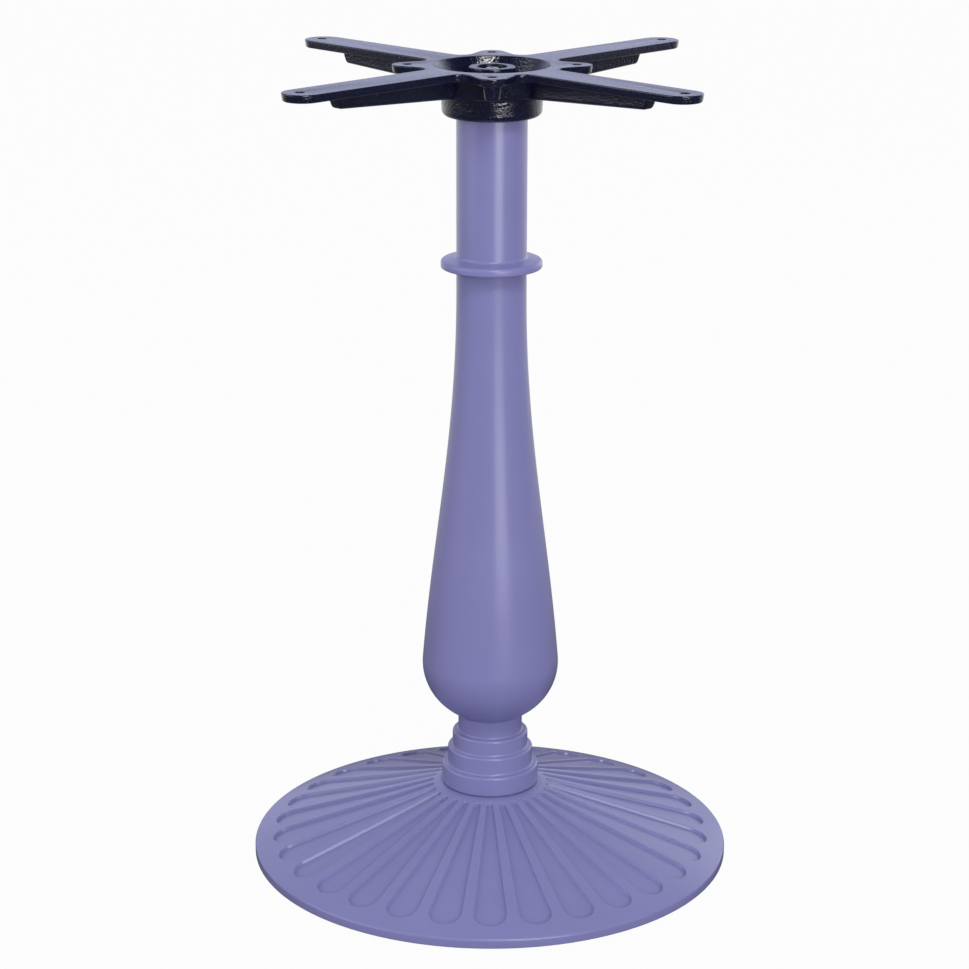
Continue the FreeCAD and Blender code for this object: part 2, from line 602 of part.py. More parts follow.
def build():
    """Every piece of the table base by name."""
    pieces = {
        "fluted_base": fluted_base(),
        "column": column(),
        "spider": spider(),
        "tie_rod": tie_rod(),
        "top_nut": nut(TOP_NUT_Z),
        "top_spring_washer": spring_washer(TOP_SPRING_Z),
        "top_washer": washer(WASHER_RADIUS, WASHER_THICKNESS, COUNTERBORE_Z),
        "bottom_washer": washer(BASE_WASHER_RADIUS, BASE_WASHER_THICKNESS, BASE_WASHER_Z),
        "bottom_spring_washer": spring_washer(BASE_SPRING_Z),
        "bottom_nut": nut(BASE_NUT_Z),
    }
    feet = zip(around(levelling_bolt(), FOOT_COUNT, FOOT_START), around(glide_pad(), FOOT_COUNT, FOOT_START))
    for number, (bolt, pad) in enumerate(feet, 1):
        pieces["levelling_bolt_%d" % number] = bolt
        pieces["glide_pad_%d" % number] = pad
    return pieces


os.makedirs("parts", exist_ok=True)
for name, shape in build().items():
    solid = shape.Solids[0]
    solid.exportStep("parts/%s.step" % name)
    print("%s: %.0f mm3, %d faces" % (name, solid.Volume, len(solid.Faces)))
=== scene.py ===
"""Looks of a cast-iron pedestal table base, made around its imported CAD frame.

Sizes are in millimetres until a mesh is made. Places are in the CAD frame: the origin is on the floor under the
column, +Z is up, the spider's arms lie along the diagonals and the camera stands at -Y.
"""

import logging
import math
from collections.abc import Iterable, Sequence
from dataclasses import dataclass, field
from enum import Enum
from functools import partial

import bmesh
import bpy
from bpy.types import Material, Node, NodeSocket, NodeTree, Object
from mathutils import Matrix, Vector

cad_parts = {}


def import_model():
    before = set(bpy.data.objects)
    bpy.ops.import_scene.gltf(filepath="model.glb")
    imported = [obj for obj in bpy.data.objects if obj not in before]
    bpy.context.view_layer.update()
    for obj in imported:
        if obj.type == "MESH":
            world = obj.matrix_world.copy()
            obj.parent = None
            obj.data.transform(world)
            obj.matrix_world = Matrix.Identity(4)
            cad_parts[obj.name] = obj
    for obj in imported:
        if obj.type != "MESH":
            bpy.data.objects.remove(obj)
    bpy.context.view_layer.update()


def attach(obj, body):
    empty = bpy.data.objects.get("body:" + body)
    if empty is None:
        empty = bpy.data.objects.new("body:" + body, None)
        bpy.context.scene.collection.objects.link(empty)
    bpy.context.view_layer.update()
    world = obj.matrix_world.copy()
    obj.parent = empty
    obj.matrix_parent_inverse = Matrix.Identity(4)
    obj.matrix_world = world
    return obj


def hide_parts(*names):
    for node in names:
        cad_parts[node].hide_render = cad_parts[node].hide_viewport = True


LOG = logging.getLogger("table_base")

MM = 0.001                  # metres in a millimetre
MERGE = 1e-6                # metres below which two vertices are one
ARC_STEP = 10.0             # degrees between points along a rounded corner
BOSS_SEGMENTS = 64
HOLE_SEGMENTS = 48
CREASE = 32.0               # degrees above which an edge is sharp
PAST = 1.0                  # how far a cutting tool reaches past a face
WHITE = "#ffffff"
CLOUD_DETAIL = 4.0          # octaves of the noise that spreads a finish's two shades
CLOUD_SPAN = (0.35, 0.65)   # levels of that noise between which one shade gives way to the other
GRAIN_DETAIL = 2.0          # octaves of the noise that raises a relief

SEAT_HEIGHT = 68.8          # where the column stands on the base
TOP_HEIGHT = 720.0          # the face that carries the table top
COUNTERBORE_HEIGHT = 698.5  # floor of the recess for the upper nut
COLUMN_TOP = 690.5
ROD_HOLE = 6.75             # radius of the rod's holes
FOOT_CIRCLE = 172.0         # radius of the circle of levelling feet
DIAGONAL = 45.0             # degrees from +X to the first arm and the first foot

Point = tuple[float, float]            # radius or distance, and height
Corner = tuple[float, float, float]    # the same with the corner's rounding
Pair = tuple[float, float]             # two values that a comment or docstring names


class Slot(Enum):
    """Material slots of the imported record."""

    LAVENDER = "lavender_coat"
    BLACK = "black_coat"
    ZINC = "zinc_steel"
    NYLON = "glide_plastic"


class Join(Enum):
    """Ways to combine two closed shapes."""

    ADD = "UNION"
    CUT = "DIFFERENCE"
    KEEP = "INTERSECT"


def linear(colour: str) -> tuple[float, float, float, float]:
    """Turn an sRGB hex colour into linear light.

    Args:
        colour: Hex value such as "#7c7bac".

    Returns:
        Linear red, green, blue and a full alpha.
    """
    channels = [int(colour[start:start + 2], 16) / 255 for start in (1, 3, 5)]
    red, green, blue = (c / 12.92 if c <= 0.04045 else ((c + 0.055) / 1.055) ** 2.4 for c in channels)
    return red, green, blue, 1.0


def add_node(tree: NodeTree, kind: str, settings: dict | None = None, links: dict | None = None) -> Node:
    """Add a node to a tree, set it and link it.

    Args:
        tree: Node tree that gets the node.
        kind: Blender's type name of the node, after the words "ShaderNode".
        settings: Values by the name of a property, or by the name or index of an input.
        links: Output sockets by the name or index of the input that they feed.

    Returns:
        The new node.
    """
    node = tree.nodes.new("ShaderNode" + kind)
    for name, value in (settings or {}).items():
        if isinstance(name, str) and hasattr(node, name):
            setattr(node, name, value)
        else:
            node.inputs[name].default_value = value
    for name, source in (links or {}).items():
        tree.links.new(source, node.inputs[name])
    return node


def new_material(name: str) -> tuple[Material, NodeTree]:
    """Make a material with an empty node tree.

    Args:
        name: The material's name.

    Returns:
        The material and its tree.
    """
    material = bpy.data.materials.new(name)
    material.use_nodes = True
    material.node_tree.nodes.clear()
    return material, material.node_tree


def background_rays(tree: NodeTree) -> tuple[NodeSocket, NodeSocket]:
    """Tell rays that show the background from rays that only light the object.

    Args:
        tree: Node tree that gets the nodes.

    Returns:
        A socket that is 1 for rays from the camera, and one that is also 1 for mirrored and refracted rays.
    """
    rays = add_node(tree, "LightPath").outputs
    seen = rays["Is Camera Ray"]
    for kind in ("Is Glossy Ray", "Is Transmission Ray"):
        seen = add_node(tree, "Math", {"operation": "MAXIMUM"}, {0: seen, 1: rays[kind]}).outputs[0]
    return rays["Is Camera Ray"], seen


def shown(tree: NodeTree, rays: tuple[NodeSocket, NodeSocket], fade: NodeSocket) -> NodeSocket:
    """Level of the white that is seen: full for the camera, and a fade for mirrored rays."""
    mirrored = add_node(tree, "Math", {"operation": "MULTIPLY"}, {0: rays[1], 1: fade}).outputs[0]
    return add_node(tree, "Math", {"operation": "MAXIMUM"}, {0: rays[0], 1: mirrored}).outputs[0]


def ramp(tree: NodeTree, source: NodeSocket, over: Pair = (0.0, 1.0), ends: Pair = (0.0, 1.0)) -> NodeSocket:
    """Fade from one level to another.

    Args:
        tree: Node tree that gets the node.
        source: What the fade follows.
        over: Where it starts and ends.
        ends: The levels there.

    Returns:
        The level's socket.
    """
    limits = dict(zip(("From Min", "From Max", "To Min", "To Max"), (*over, *ends)))
    return add_node(tree, "MapRange", limits, {"Value": source}).outputs[0]


def per_metre(size: float) -> float:
    """Scale of a noise texture whose features are about a size in millimetres across."""
    return 1.0 / (size * MM)


def rounded(corners: Sequence[Corner]) -> list[Point]:
    """Draw an open run of straight lines with rounded corners.

    Args:
        corners: Corners in order, each with its rounding. The two ends aren't rounded.

    Returns:
        Points along the run.
    """
    points = [corners[0][:2]]
    for before, corner, after in zip(corners, corners[1:], corners[2:]):
        rounding = corner[2]
        here = Vector(corner[:2])
        if rounding <= 0:
            points.append(corner[:2])
            continue
        back = (Vector(before[:2]) - here).normalized()
        ahead = (Vector(after[:2]) - here).normalized()
        half = back.angle(ahead) / 2
        reach = rounding / math.tan(half)
        centre = here + (back + ahead).normalized() * (rounding / math.sin(half))
        sweep = math.pi - 2 * half
        steps = max(2, math.ceil(math.degrees(sweep) / ARC_STEP))
        first = here + back * reach - centre
        last = here + ahead * reach - centre
        for step in range(steps + 1):
            turn = sweep * step / steps
            arm = (first * math.sin(sweep - turn) + last * math.sin(turn)) / math.sin(sweep)
            points.append((centre.x + arm.x, centre.y + arm.y))
    points.append(corners[-1][:2])
    return points


def polar(radius: float, turn: float, height: float) -> Vector:
    """Point at a radius and a height, turned about Z by an angle in radians from +X."""
    return Vector((radius * math.cos(turn), radius * math.sin(turn), height))


def circle(radius: float, height: float, segments: int, start: float = 0.0) -> list[Vector]:
    """Points spread evenly on a level circle about Z, the first at an angle in radians."""
    return [polar(radius, start + math.tau * step / segments, height) for step in range(segments)]


@dataclass
class Shell:
    """Surface in the making: points in millimetres, and faces between them."""

    points: list[Vector] = field(default_factory=list)
    faces: list[tuple[int, ...]] = field(default_factory=list)

    def loop(self, points: Iterable[Vector]) -> list[int]:
        """Add a run of points.

        Args:
            points: Points in order.

        Returns:
            Their indices.
        """
        start = len(self.points)
        self.points.extend(points)
        return list(range(start, len(self.points)))

    def bridge(self, first: Sequence[int], second: Sequence[int]) -> None:
        """Join two closed loops of as many points, given by their indices, by a band of quads."""
        for here, ahead in zip(range(len(first)), [*range(1, len(first)), 0]):
            self.faces.append((first[here], first[ahead], second[ahead], second[here]))

    def stack(self, loops: Sequence[Sequence[Vector]], capped: bool = True) -> "Shell":
        """Skin closed loops that lie one behind the other.

        Args:
            loops: Loops of as many points each.
            capped: Whether the first and the last loop are closed by a face.

        Returns:
            This shell.
        """
        rings = [self.loop(points) for points in loops]
        for first, second in zip(rings, rings[1:]):
            self.bridge(first, second)
        if capped:
            self.faces.append(tuple(rings[0]))
            self.faces.append(tuple(rings[-1]))
        return self

    def fold(self, ring: Sequence[int], tip: int) -> None:
        """Fill a loop that is its own mirror image with quads from side to side.

        Args:
            ring: Indices of the loop, an even number of them.
            tip: Place in the ring of a point on the mirror line.
        """
        turned = [*ring[tip:], *ring[:tip]]
        for step in range(len(turned) // 2):
            quad = (turned[step], turned[step + 1], turned[-step - 1], turned[-step])
            self.faces.append(tuple(dict.fromkeys(quad)))

    def lathe(self, profile: Sequence[Point], segments: int, start: float = 0.0, closed: bool = False) -> "Shell":
        """Turn a profile of (radius, height) about Z, from an angle in radians; a closed one joins its own ends."""
        loops = [circle(radius, height, segments, start) for radius, height in profile]
        return self.stack([*loops, loops[0]] if closed else loops, capped=False)

    def around(self, count: int, start: float = 0.0, offset: float = 0.0) -> "Shell":
        """Repeat the shell evenly about Z.

        Args:
            count: How many copies there are.
            start: Angle of the first, in degrees.
            offset: How far each is moved out along X first.

        Returns:
            A new shell with all the copies.
        """
        copies = Shell()
        for step in range(count):
            turn = Matrix.Rotation(math.radians(start) + math.tau * step / count, 3, "Z")
            first = len(copies.points)
            copies.points += [turn @ (point + Vector((offset, 0, 0))) for point in self.points]
            copies.faces += [tuple(first + index for index in face) for face in self.faces]
        return copies

    def to_object(self, name: str) -> Object:
        """Make a Blender object of the shell, in metres.

        Args:
            name: The object's name.

        Returns:
            The object, linked to the scene.
        """
        work = bmesh.new()
        vertices = [work.verts.new(point * MM) for point in self.points]
        for face in self.faces:
            work.faces.new([vertices[index] for index in face])
        bmesh.ops.remove_doubles(work, verts=work.verts, dist=MERGE)
        bmesh.ops.recalc_face_normals(work, faces=work.faces)
        mesh = bpy.data.meshes.new(name)
        work.to_mesh(mesh)
        work.free()
        made = bpy.data.objects.new(name, mesh)
        bpy.context.scene.collection.objects.link(made)
        return made


def combine(target: Object, shells: Sequence[Shell], join: Join) -> None:
    """Combine an object with closed shells, one after the other.

    Args:
        target: Object that is changed.
        shells: Closed shells.
        join: How they are combined.
    """
    tools = [shell.to_object("tool") for shell in shells]
    for tool in tools:
        step = target.modifiers.new(join.name, "BOOLEAN")
        step.operation = join.value
        step.solver = "MANIFOLD"
        step.object = tool
    graph = bpy.context.evaluated_depsgraph_get()
    made = bpy.data.meshes.new_from_object(target.evaluated_get(graph))
    old = target.data
    name = old.name
    target.modifiers.clear()
    target.data = made
    bpy.data.meshes.remove(old)
    made.name = name
    for tool in tools:
        mesh = tool.data
        bpy.data.objects.remove(tool)
        bpy.data.meshes.remove(mesh)


def settle(piece: Object, material: Material, body: str, node: str) -> Object:
    """Shade a piece, give it its finish and set it on the frame.

    Args:
        piece: The piece in its place.
        material: Its finish.
        body: CAD body that it rides on.
        node: CAD node that it stands for.

    Returns:
        The piece.
    """
    mesh = piece.data
    mesh.polygons.foreach_set("use_smooth", [True] * len(mesh.polygons))
    mesh.set_sharp_from_angle(angle=math.radians(CREASE))
    mesh.materials.clear()
    mesh.materials.append(material)
    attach(piece, body)
    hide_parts(node)
    return piece


@dataclass(frozen=True)
class Grain:
    """Relief that lies all over a finish: how wide its bumps are and how deep they are drawn, in millimetres."""

    size: float
    depth: float


@dataclass(frozen=True)
class Finish:
    """What the finishes share: two shades in soft clouds, a relief, and a gloss that wanders with the relief."""

    name: str
    colour: str
    shade: str
    cloud_size: float                   # millimetres
    grains: tuple[Grain, ...]           # coarsest first
    roughness: Pair                     # least and most
    metallic: float = 0.0
    ior: float = 1.5
    glaze: float = 0.0                  # share of a clear, smooth top layer
    glaze_roughness: float = 0.2

    def material(self) -> Material:
        """Build the finish's node tree.

        Returns:
            The material.
        """
        material, tree = new_material(self.name)
        place = add_node(tree, "TexCoord").outputs["Object"]
        clouds = add_node(tree, "TexNoise", {"Scale": per_metre(self.cloud_size), "Detail": CLOUD_DETAIL},
                          {"Vector": place})
        spread = ramp(tree, clouds.outputs["Fac"], CLOUD_SPAN)
        tint = add_node(tree, "Mix", {"data_type": "RGBA", 6: linear(self.colour), 7: linear(self.shade)}, {0: spread})
        under: dict[str, NodeSocket] = {}
        for grain in self.grains:
            bumps = add_node(tree, "TexNoise", {"Scale": per_metre(grain.size), "Detail": GRAIN_DETAIL},
                             {"Vector": place})
            relief = add_node(tree, "Bump", {"Strength": 1.0, "Distance": grain.depth * MM},
                              {"Height": bumps.outputs["Fac"], **under})
            under = {"Normal": relief.outputs["Normal"]}
        gloss = ramp(tree, bumps.outputs["Fac"], ends=self.roughness)
        skin = add_node(tree, "BsdfPrincipled",
                        {"IOR": self.ior, "Metallic": self.metallic, "Coat Weight": self.glaze,
                         "Coat Roughness": self.glaze_roughness},
                        {"Base Color": tint.outputs[2], "Roughness": gloss, **under})
        add_node(tree, "OutputMaterial", {}, {"Surface": skin.outputs[0]})
        return material


@dataclass(frozen=True)
class SatinPowderCoat(Finish):
    """Polyester powder coat, sprayed and baked on cast iron.

    The melted powder flows into a soft skin: an even colour with a faint cloudiness, a satin sheen under a smoother
    top that draws bright lines along the edges, and an orange peel that only shows where a highlight runs over it.
    The peel is drawn a little coarse, so that it shows in the render.
    """

    name: str = "polyester_powder_coat_satin_lavender"
    colour: str = "#7776a9"
    shade: str = "#7473a5"
    cloud_size: float = 70.0
    grains: tuple[Grain, ...] = (Grain(1.6, 0.03),)
    roughness: Pair = (0.42, 0.48)
    ior: float = 1.25
    glaze: float = 0.8
    glaze_roughness: float = 0.25


@dataclass(frozen=True)
class SandCastBlack(Finish):
    """Blue-black stoving paint over an iron casting, fresh from a sand mould.

    The grain of the sand stays under the paint: the flats look like dull slate where they mirror a bright room, and
    the rounded parts break a highlight into bright specks. The grain is drawn coarser than sand, so that it shows in
    the render.
    """

    name: str = "black_stoving_paint_on_sand_cast_iron"
    colour: str = "#02041a"
    shade: str = "#181b36"
    cloud_size: float = 1.5
    grains: tuple[Grain, ...] = (Grain(1.9, 0.4), Grain(0.8, 0.06))
    roughness: Pair = (0.1, 0.16)
    ior: float = 1.85


@dataclass(frozen=True)
class ZincPlate(Finish):
    """Mild steel with a bright electroplated zinc skin.

    It is a pale blue-grey metal, cloudy rather than mirror-bright, because the bath leaves fine crystals.
    """

    name: str = "zinc_plated_steel_bright"
    colour: str = "#c9ccd1"
    shade: str = "#aeb2b9"
    cloud_size: float = 4.0
    grains: tuple[Grain, ...] = (Grain(0.5, 0.01),)
    roughness: Pair = (0.22, 0.38)
    metallic: float = 1.0


@dataclass(frozen=True)
class MouldedNylon(Finish):
    """Black nylon, injection-moulded in a spark-eroded tool.

    The tool leaves an even fine grain, which makes the plastic look dull and slightly grey on its faces.
    """

    name: str = "nylon_moulded_black"
    colour: str = "#1c1c1f"
    shade: str = "#27272b"
    cloud_size: float = 6.0
    grains: tuple[Grain, ...] = (Grain(0.5, 0.03),)
    roughness: Pair = (0.45, 0.6)


def ribbed(stations: Iterable[tuple[float, float, float]], half: float, edge: float, root: float) -> Shell:
    """Skin a rib that hangs under a face and flares into it.

    Args:
        stations: Distance out along X, height of the rib's lower edge and height of the face, in order.
        half: Half the rib's thickness.
        edge: Rounding of its lower edges.
        root: Rounding between the rib and the face.

    Returns:
        A closed shell that ends inside the face.
    """
    buried = 1.5                # how far the rib reaches into the face
    least = 0.4                 # height left where the rib runs out
    edge_share, root_share = 0.4, 0.5   # of the rib's height, which the roundings take up at most
    loops = []
    for out, low, face in stations:
        roof = max(face, low + least)
        soft = min(edge, edge_share * (roof - low))
        flare = min(root, root_share * (roof - low))
        side = [
            *rounded([(0, low, 0), (half, low, soft), (half, roof - flare, 0)]),
            *((half + flare * (1 - math.cos(turn)), roof - flare * (1 - math.sin(turn)))
              for turn in (step * math.pi / 8 for step in (1, 2, 3))),
            (half + flare, roof),
            (half + flare, roof + buried),
            (0, roof + buried),
        ]
        section = side + [(-across, height) for across, height in side[-2:0:-1]]
        loops.append([Vector((out, across, height)) for across, height in section])
    return Shell().stack(loops)


@dataclass
class FlutedBase:
    """Base casting: a cone with tapered flutes, a rounded rim, and ribs and bosses underneath."""

    rim_radius: float = 214.4
    rim_height: float = 13.4            # of the rim's upper corner
    rim_lift: float = 5.0
    rim_wall: float = 9.0
    rim_rounds: tuple[float, ...] = (2.4, 1.2, 0.8, 1.5)  # outside above and below, inside below and above
    wall: float = 7.5
    seat_radius: float = 44.5
    register: Pair = (36.2, 4.0)        # radius and height of the spigot in the column's foot
    register_round: float = 1.0
    bore_round: float = 0.5
    boss_radius: float = 24.0
    boss_face: float = 34.8
    boss_taper: float = 2.0
    boss_rounds: Pair = (6.0, 2.0)      # at its root and its face
    flutes: int = 30
    flute_ends: Pair = (51.4, 198.0)    # radii at the flutes' tips
    flute_rounds: Pair = (2.6, 14.0)    # rounding of the tips
    flute_depth: float = 2.7
    floor_round: float = 0.4
    lip_round: float = 0.9
    wall_spread: Pair = (0.4, -0.5)     # how far outside the flute's outline its wall has its lip and its foot
    wall_strip: float = 1.05            # strip beside the wall, partly flat, that keeps the shading of the flats even
    border: Pair = (49.0, 200.5)        # plain rings inside and outside the flutes
    ribs: int = 8
    rib_ends: Pair = (20.0, 196.0)      # radii where a rib starts inside the boss and where it runs out
    rib_clear: Pair = (2.0, 6.0)        # how far its lower edge lies above the boss's face and the rim's foot
    rib_half: float = 3.0
    rib_rounds: Pair = (1.2, 2.5)       # of its lower edges and its root
    rib_steps: int = 12
    feet: int = 4
    foot_boss: float = 12.0
    foot_face: float = 8.0
    foot_rounds: Pair = (1.0, 2.5)      # of a foot's boss, at its face and its root
    tap_chamfer: float = 0.9
    tapped: Pair = (4.06, 19.7)         # radius and upper end of the tapped holes
    side_steps: int = 24
    tip_steps: int = 24

    @property
    def slope(self) -> float:
        """Fall of the cone over its run."""
        return (SEAT_HEIGHT - self.rim_height) / (self.rim_radius - self.seat_radius)

    @property
    def lean(self) -> float:
        """Angle between the cone and the floor."""
        return math.atan(self.slope)

    def top(self, radius: float) -> float:
        """Height of the cone's upper face at a radius."""
        return SEAT_HEIGHT + (self.seat_radius - radius) * self.slope

    def under(self, radius: float) -> float:
        """Height of the cone's lower face at a radius."""
        return self.top(radius) - self.wall / math.cos(self.lean)

    def on_cone(self, along: float, across: float, sunk: float, turn: float) -> Vector:
        """Wrap a point of the flat pattern round the cone.

        Args:
            along: Distance from the cone's apex along the middle of a flute.
            across: Distance to the side of it.
            sunk: Depth below the cone's face.
            turn: Angle of the flute about Z.

        Returns:
            The point in space.
        """
        slant = math.hypot(along, across)
        angle = turn + math.atan2(across, along) / math.cos(self.lean)
        radius = slant * math.cos(self.lean) - sunk * math.sin(self.lean)
        height = self.top(0) - slant * math.sin(self.lean) - sunk * math.cos(self.lean)
        return polar(radius, angle, height)

    def flute_outline(self, grow: float) -> list[Point]:
        """Outline of a flute in the flat pattern.

        Args:
            grow: How far it lies outside the flute's own outline.

        Returns:
            Points along one side, round the outer tip, back along the other side and round the inner tip.
        """
        near_round, far_round = self.flute_rounds
        near = self.flute_ends[0] / math.cos(self.lean) + near_round
        far = self.flute_ends[1] / math.cos(self.lean) - far_round
        touch = math.pi / 2 - math.asin((near_round - far_round) / (far - near))
        points = []
        for side, begin, end in ((1, 0, 1), (-1, 1, 0)):
            for step in range(self.side_steps):
                share = begin + (end - begin) * step / self.side_steps
                middle = near + (far - near) * share
                radius = near_round + (far_round - near_round) * share + grow
                points.append((middle + radius * math.cos(touch), side * radius * math.sin(touch)))
            centre, radius, sweep = (far, far_round + grow, 2 * touch)
            if side < 0:
                centre, radius, sweep = (near, near_round + grow, math.tau - 2 * touch)
            for step in range(self.tip_steps):
                turn = side * touch - sweep * step / self.tip_steps
                points.append((centre + radius * math.cos(turn), radius * math.sin(turn)))
        return points

    def sector_edge(self) -> list[Point]:
        """Outline a flute's share of the cone.

        Returns:
            Points in the flat pattern, one for each point of the flute's outline.
        """
        half = math.pi / self.flutes * math.cos(self.lean)
        slants = [math.hypot(*point) for point in self.flute_outline(self.wall_spread[0] + self.wall_strip)]
        corner_steps = self.tip_steps // 4
        points = []
        for side, radius in ((1, self.border[1]), (-1, self.border[0])):
            first = 0 if side > 0 else self.side_steps + self.tip_steps
            limit = radius / math.cos(self.lean)
            run = [(slant, side * half) for slant in slants[first:first + self.side_steps]]
            begin = slants[first + self.side_steps]
            for step in range(self.tip_steps):
                from_end = min(step, self.tip_steps - step)
                slant = begin + (limit - begin) * min(1.0, from_end / corner_steps)
                flat = (step - corner_steps) / (self.tip_steps - 2 * corner_steps)
                run.append((slant, side * half * (1 - 2 * min(1.0, max(0.0, flat)))))
            points += run
        return [(slant * math.cos(angle), slant * math.sin(angle)) for slant, angle in points]

    def cone(self) -> Shell:
        """Draw the upper face with all its flutes, the rim, the hollow underside and the bore.

        Returns:
            A closed shell.
        """
        shell = Shell()
        lip, foot = self.wall_spread
        section = rounded([(lip + self.wall_strip, 0.0, 0.0), (lip, 0.0, self.lip_round),
                           (foot, self.flute_depth, self.floor_round), (foot - self.wall_strip, self.flute_depth, 0.0)])
        outlines = [(self.sector_edge(), 0.0)]
        outlines += [(self.flute_outline(grow), sunk) for grow, sunk in section]
        near_tip = 2 * self.side_steps + self.tip_steps + self.tip_steps // 2
        front = -math.pi / 2
        for flute in range(self.flutes):
            turn = front + math.tau * flute / self.flutes
            rings = [shell.loop(self.on_cone(along, across, sunk, turn) for along, across in outline)
                     for outline, sunk in outlines]
            for outer, inner in zip(rings, rings[1:]):
                shell.bridge(outer, inner)
            shell.fold(rings[-1], near_tip)
        inner_rim = self.rim_radius - self.rim_wall
        root = self.boss_radius + self.boss_taper
        register, rise = self.register
        profile = rounded([
            (self.border[1], self.top(self.border[1]), 0),
            (self.rim_radius, self.rim_height, self.rim_rounds[0]),
            (self.rim_radius, self.rim_lift, self.rim_rounds[1]),
            (inner_rim, self.rim_lift, self.rim_rounds[2]),
            (inner_rim, self.under(inner_rim), self.rim_rounds[3]),
            (root, self.under(root), self.boss_rounds[0]),
            (self.boss_radius, self.boss_face, self.boss_rounds[1]),
            (ROD_HOLE, self.boss_face, self.bore_round),
            (ROD_HOLE, SEAT_HEIGHT + rise, self.bore_round),
            (register, SEAT_HEIGHT + rise, self.register_round),
            (register, SEAT_HEIGHT, 0),
            (self.seat_radius, SEAT_HEIGHT, 0),
            (self.border[0], self.top(self.border[0]), 0),
        ])
        segments = self.flutes * self.tip_steps // 2
        return shell.lathe(profile, segments, front + math.pi / self.flutes)

    def rib(self) -> Shell:
        """Draw one rib under the cone, along +X, from inside the boss to where it runs out.

        Returns:
            A closed shell.
        """
        start, end = self.rib_ends
        first = self.boss_face + self.rib_clear[0]
        last = self.rim_lift + self.rib_clear[1]
        run = self.rim_radius - self.rim_wall - self.boss_radius
        stations = []
        for step in range(self.rib_steps + 1):
            out = start + (end - start) * step / self.rib_steps
            share = max(0.0, out - self.boss_radius) / run
            stations.append((out, first + (last - first) * share, self.under(out)))
        return ribbed(stations, self.rib_half, *self.rib_rounds)

    def boss(self) -> Shell:
        """Draw the boss for a levelling bolt under the cone, on the X axis.

        Returns:
            A closed shell.
        """
        wide = self.foot_boss
        edge, root = self.foot_rounds
        middle = 0.3                # how far a rounding's middle lies from either face, as a share of its radius
        buried = 2.0                # how far the boss reaches into the cone
        loops = []
        for radius, height, below in (
                (wide - edge, self.foot_face, None),
                (wide - middle * edge, self.foot_face + middle * edge, None),
                (wide, self.foot_face + edge, None),
                (wide, 0, root),
                (wide + middle * root, 0, middle * root),
                (wide + root, 0, 0),
                (wide + root, 0, -buried)):
            ring = [point + Vector((FOOT_CIRCLE, 0, 0)) for point in circle(radius, height, BOSS_SEGMENTS)]
            if below is not None:
                ring = [Vector((p.x, p.y, self.under(math.hypot(p.x, p.y)) - below)) for p in ring]
            loops.append(ring)
        return Shell().stack(loops)

    def build(self, finish: Material) -> Object:
        """Make the base and set it on the frame.

        Args:
            finish: Its powder coat.

        Returns:
            The piece.
        """
        piece = self.cone().to_object("base_fluted_cone")
        combine(piece, [self.rib().around(self.ribs), self.boss().around(self.feet, DIAGONAL)], Join.ADD)
        radius, end = self.tapped
        mouth, low = radius + self.tap_chamfer, self.foot_face
        hole = Shell().lathe([(0, low - PAST), (mouth, low - PAST), (mouth, low), (radius, low + self.tap_chamfer),
                              (radius, end), (0, end)], HOLE_SEGMENTS)
        combine(piece, [hole.around(self.feet, DIAGONAL, FOOT_CIRCLE)], Join.CUT)
        return settle(piece, finish, "stand", "fluted_base")


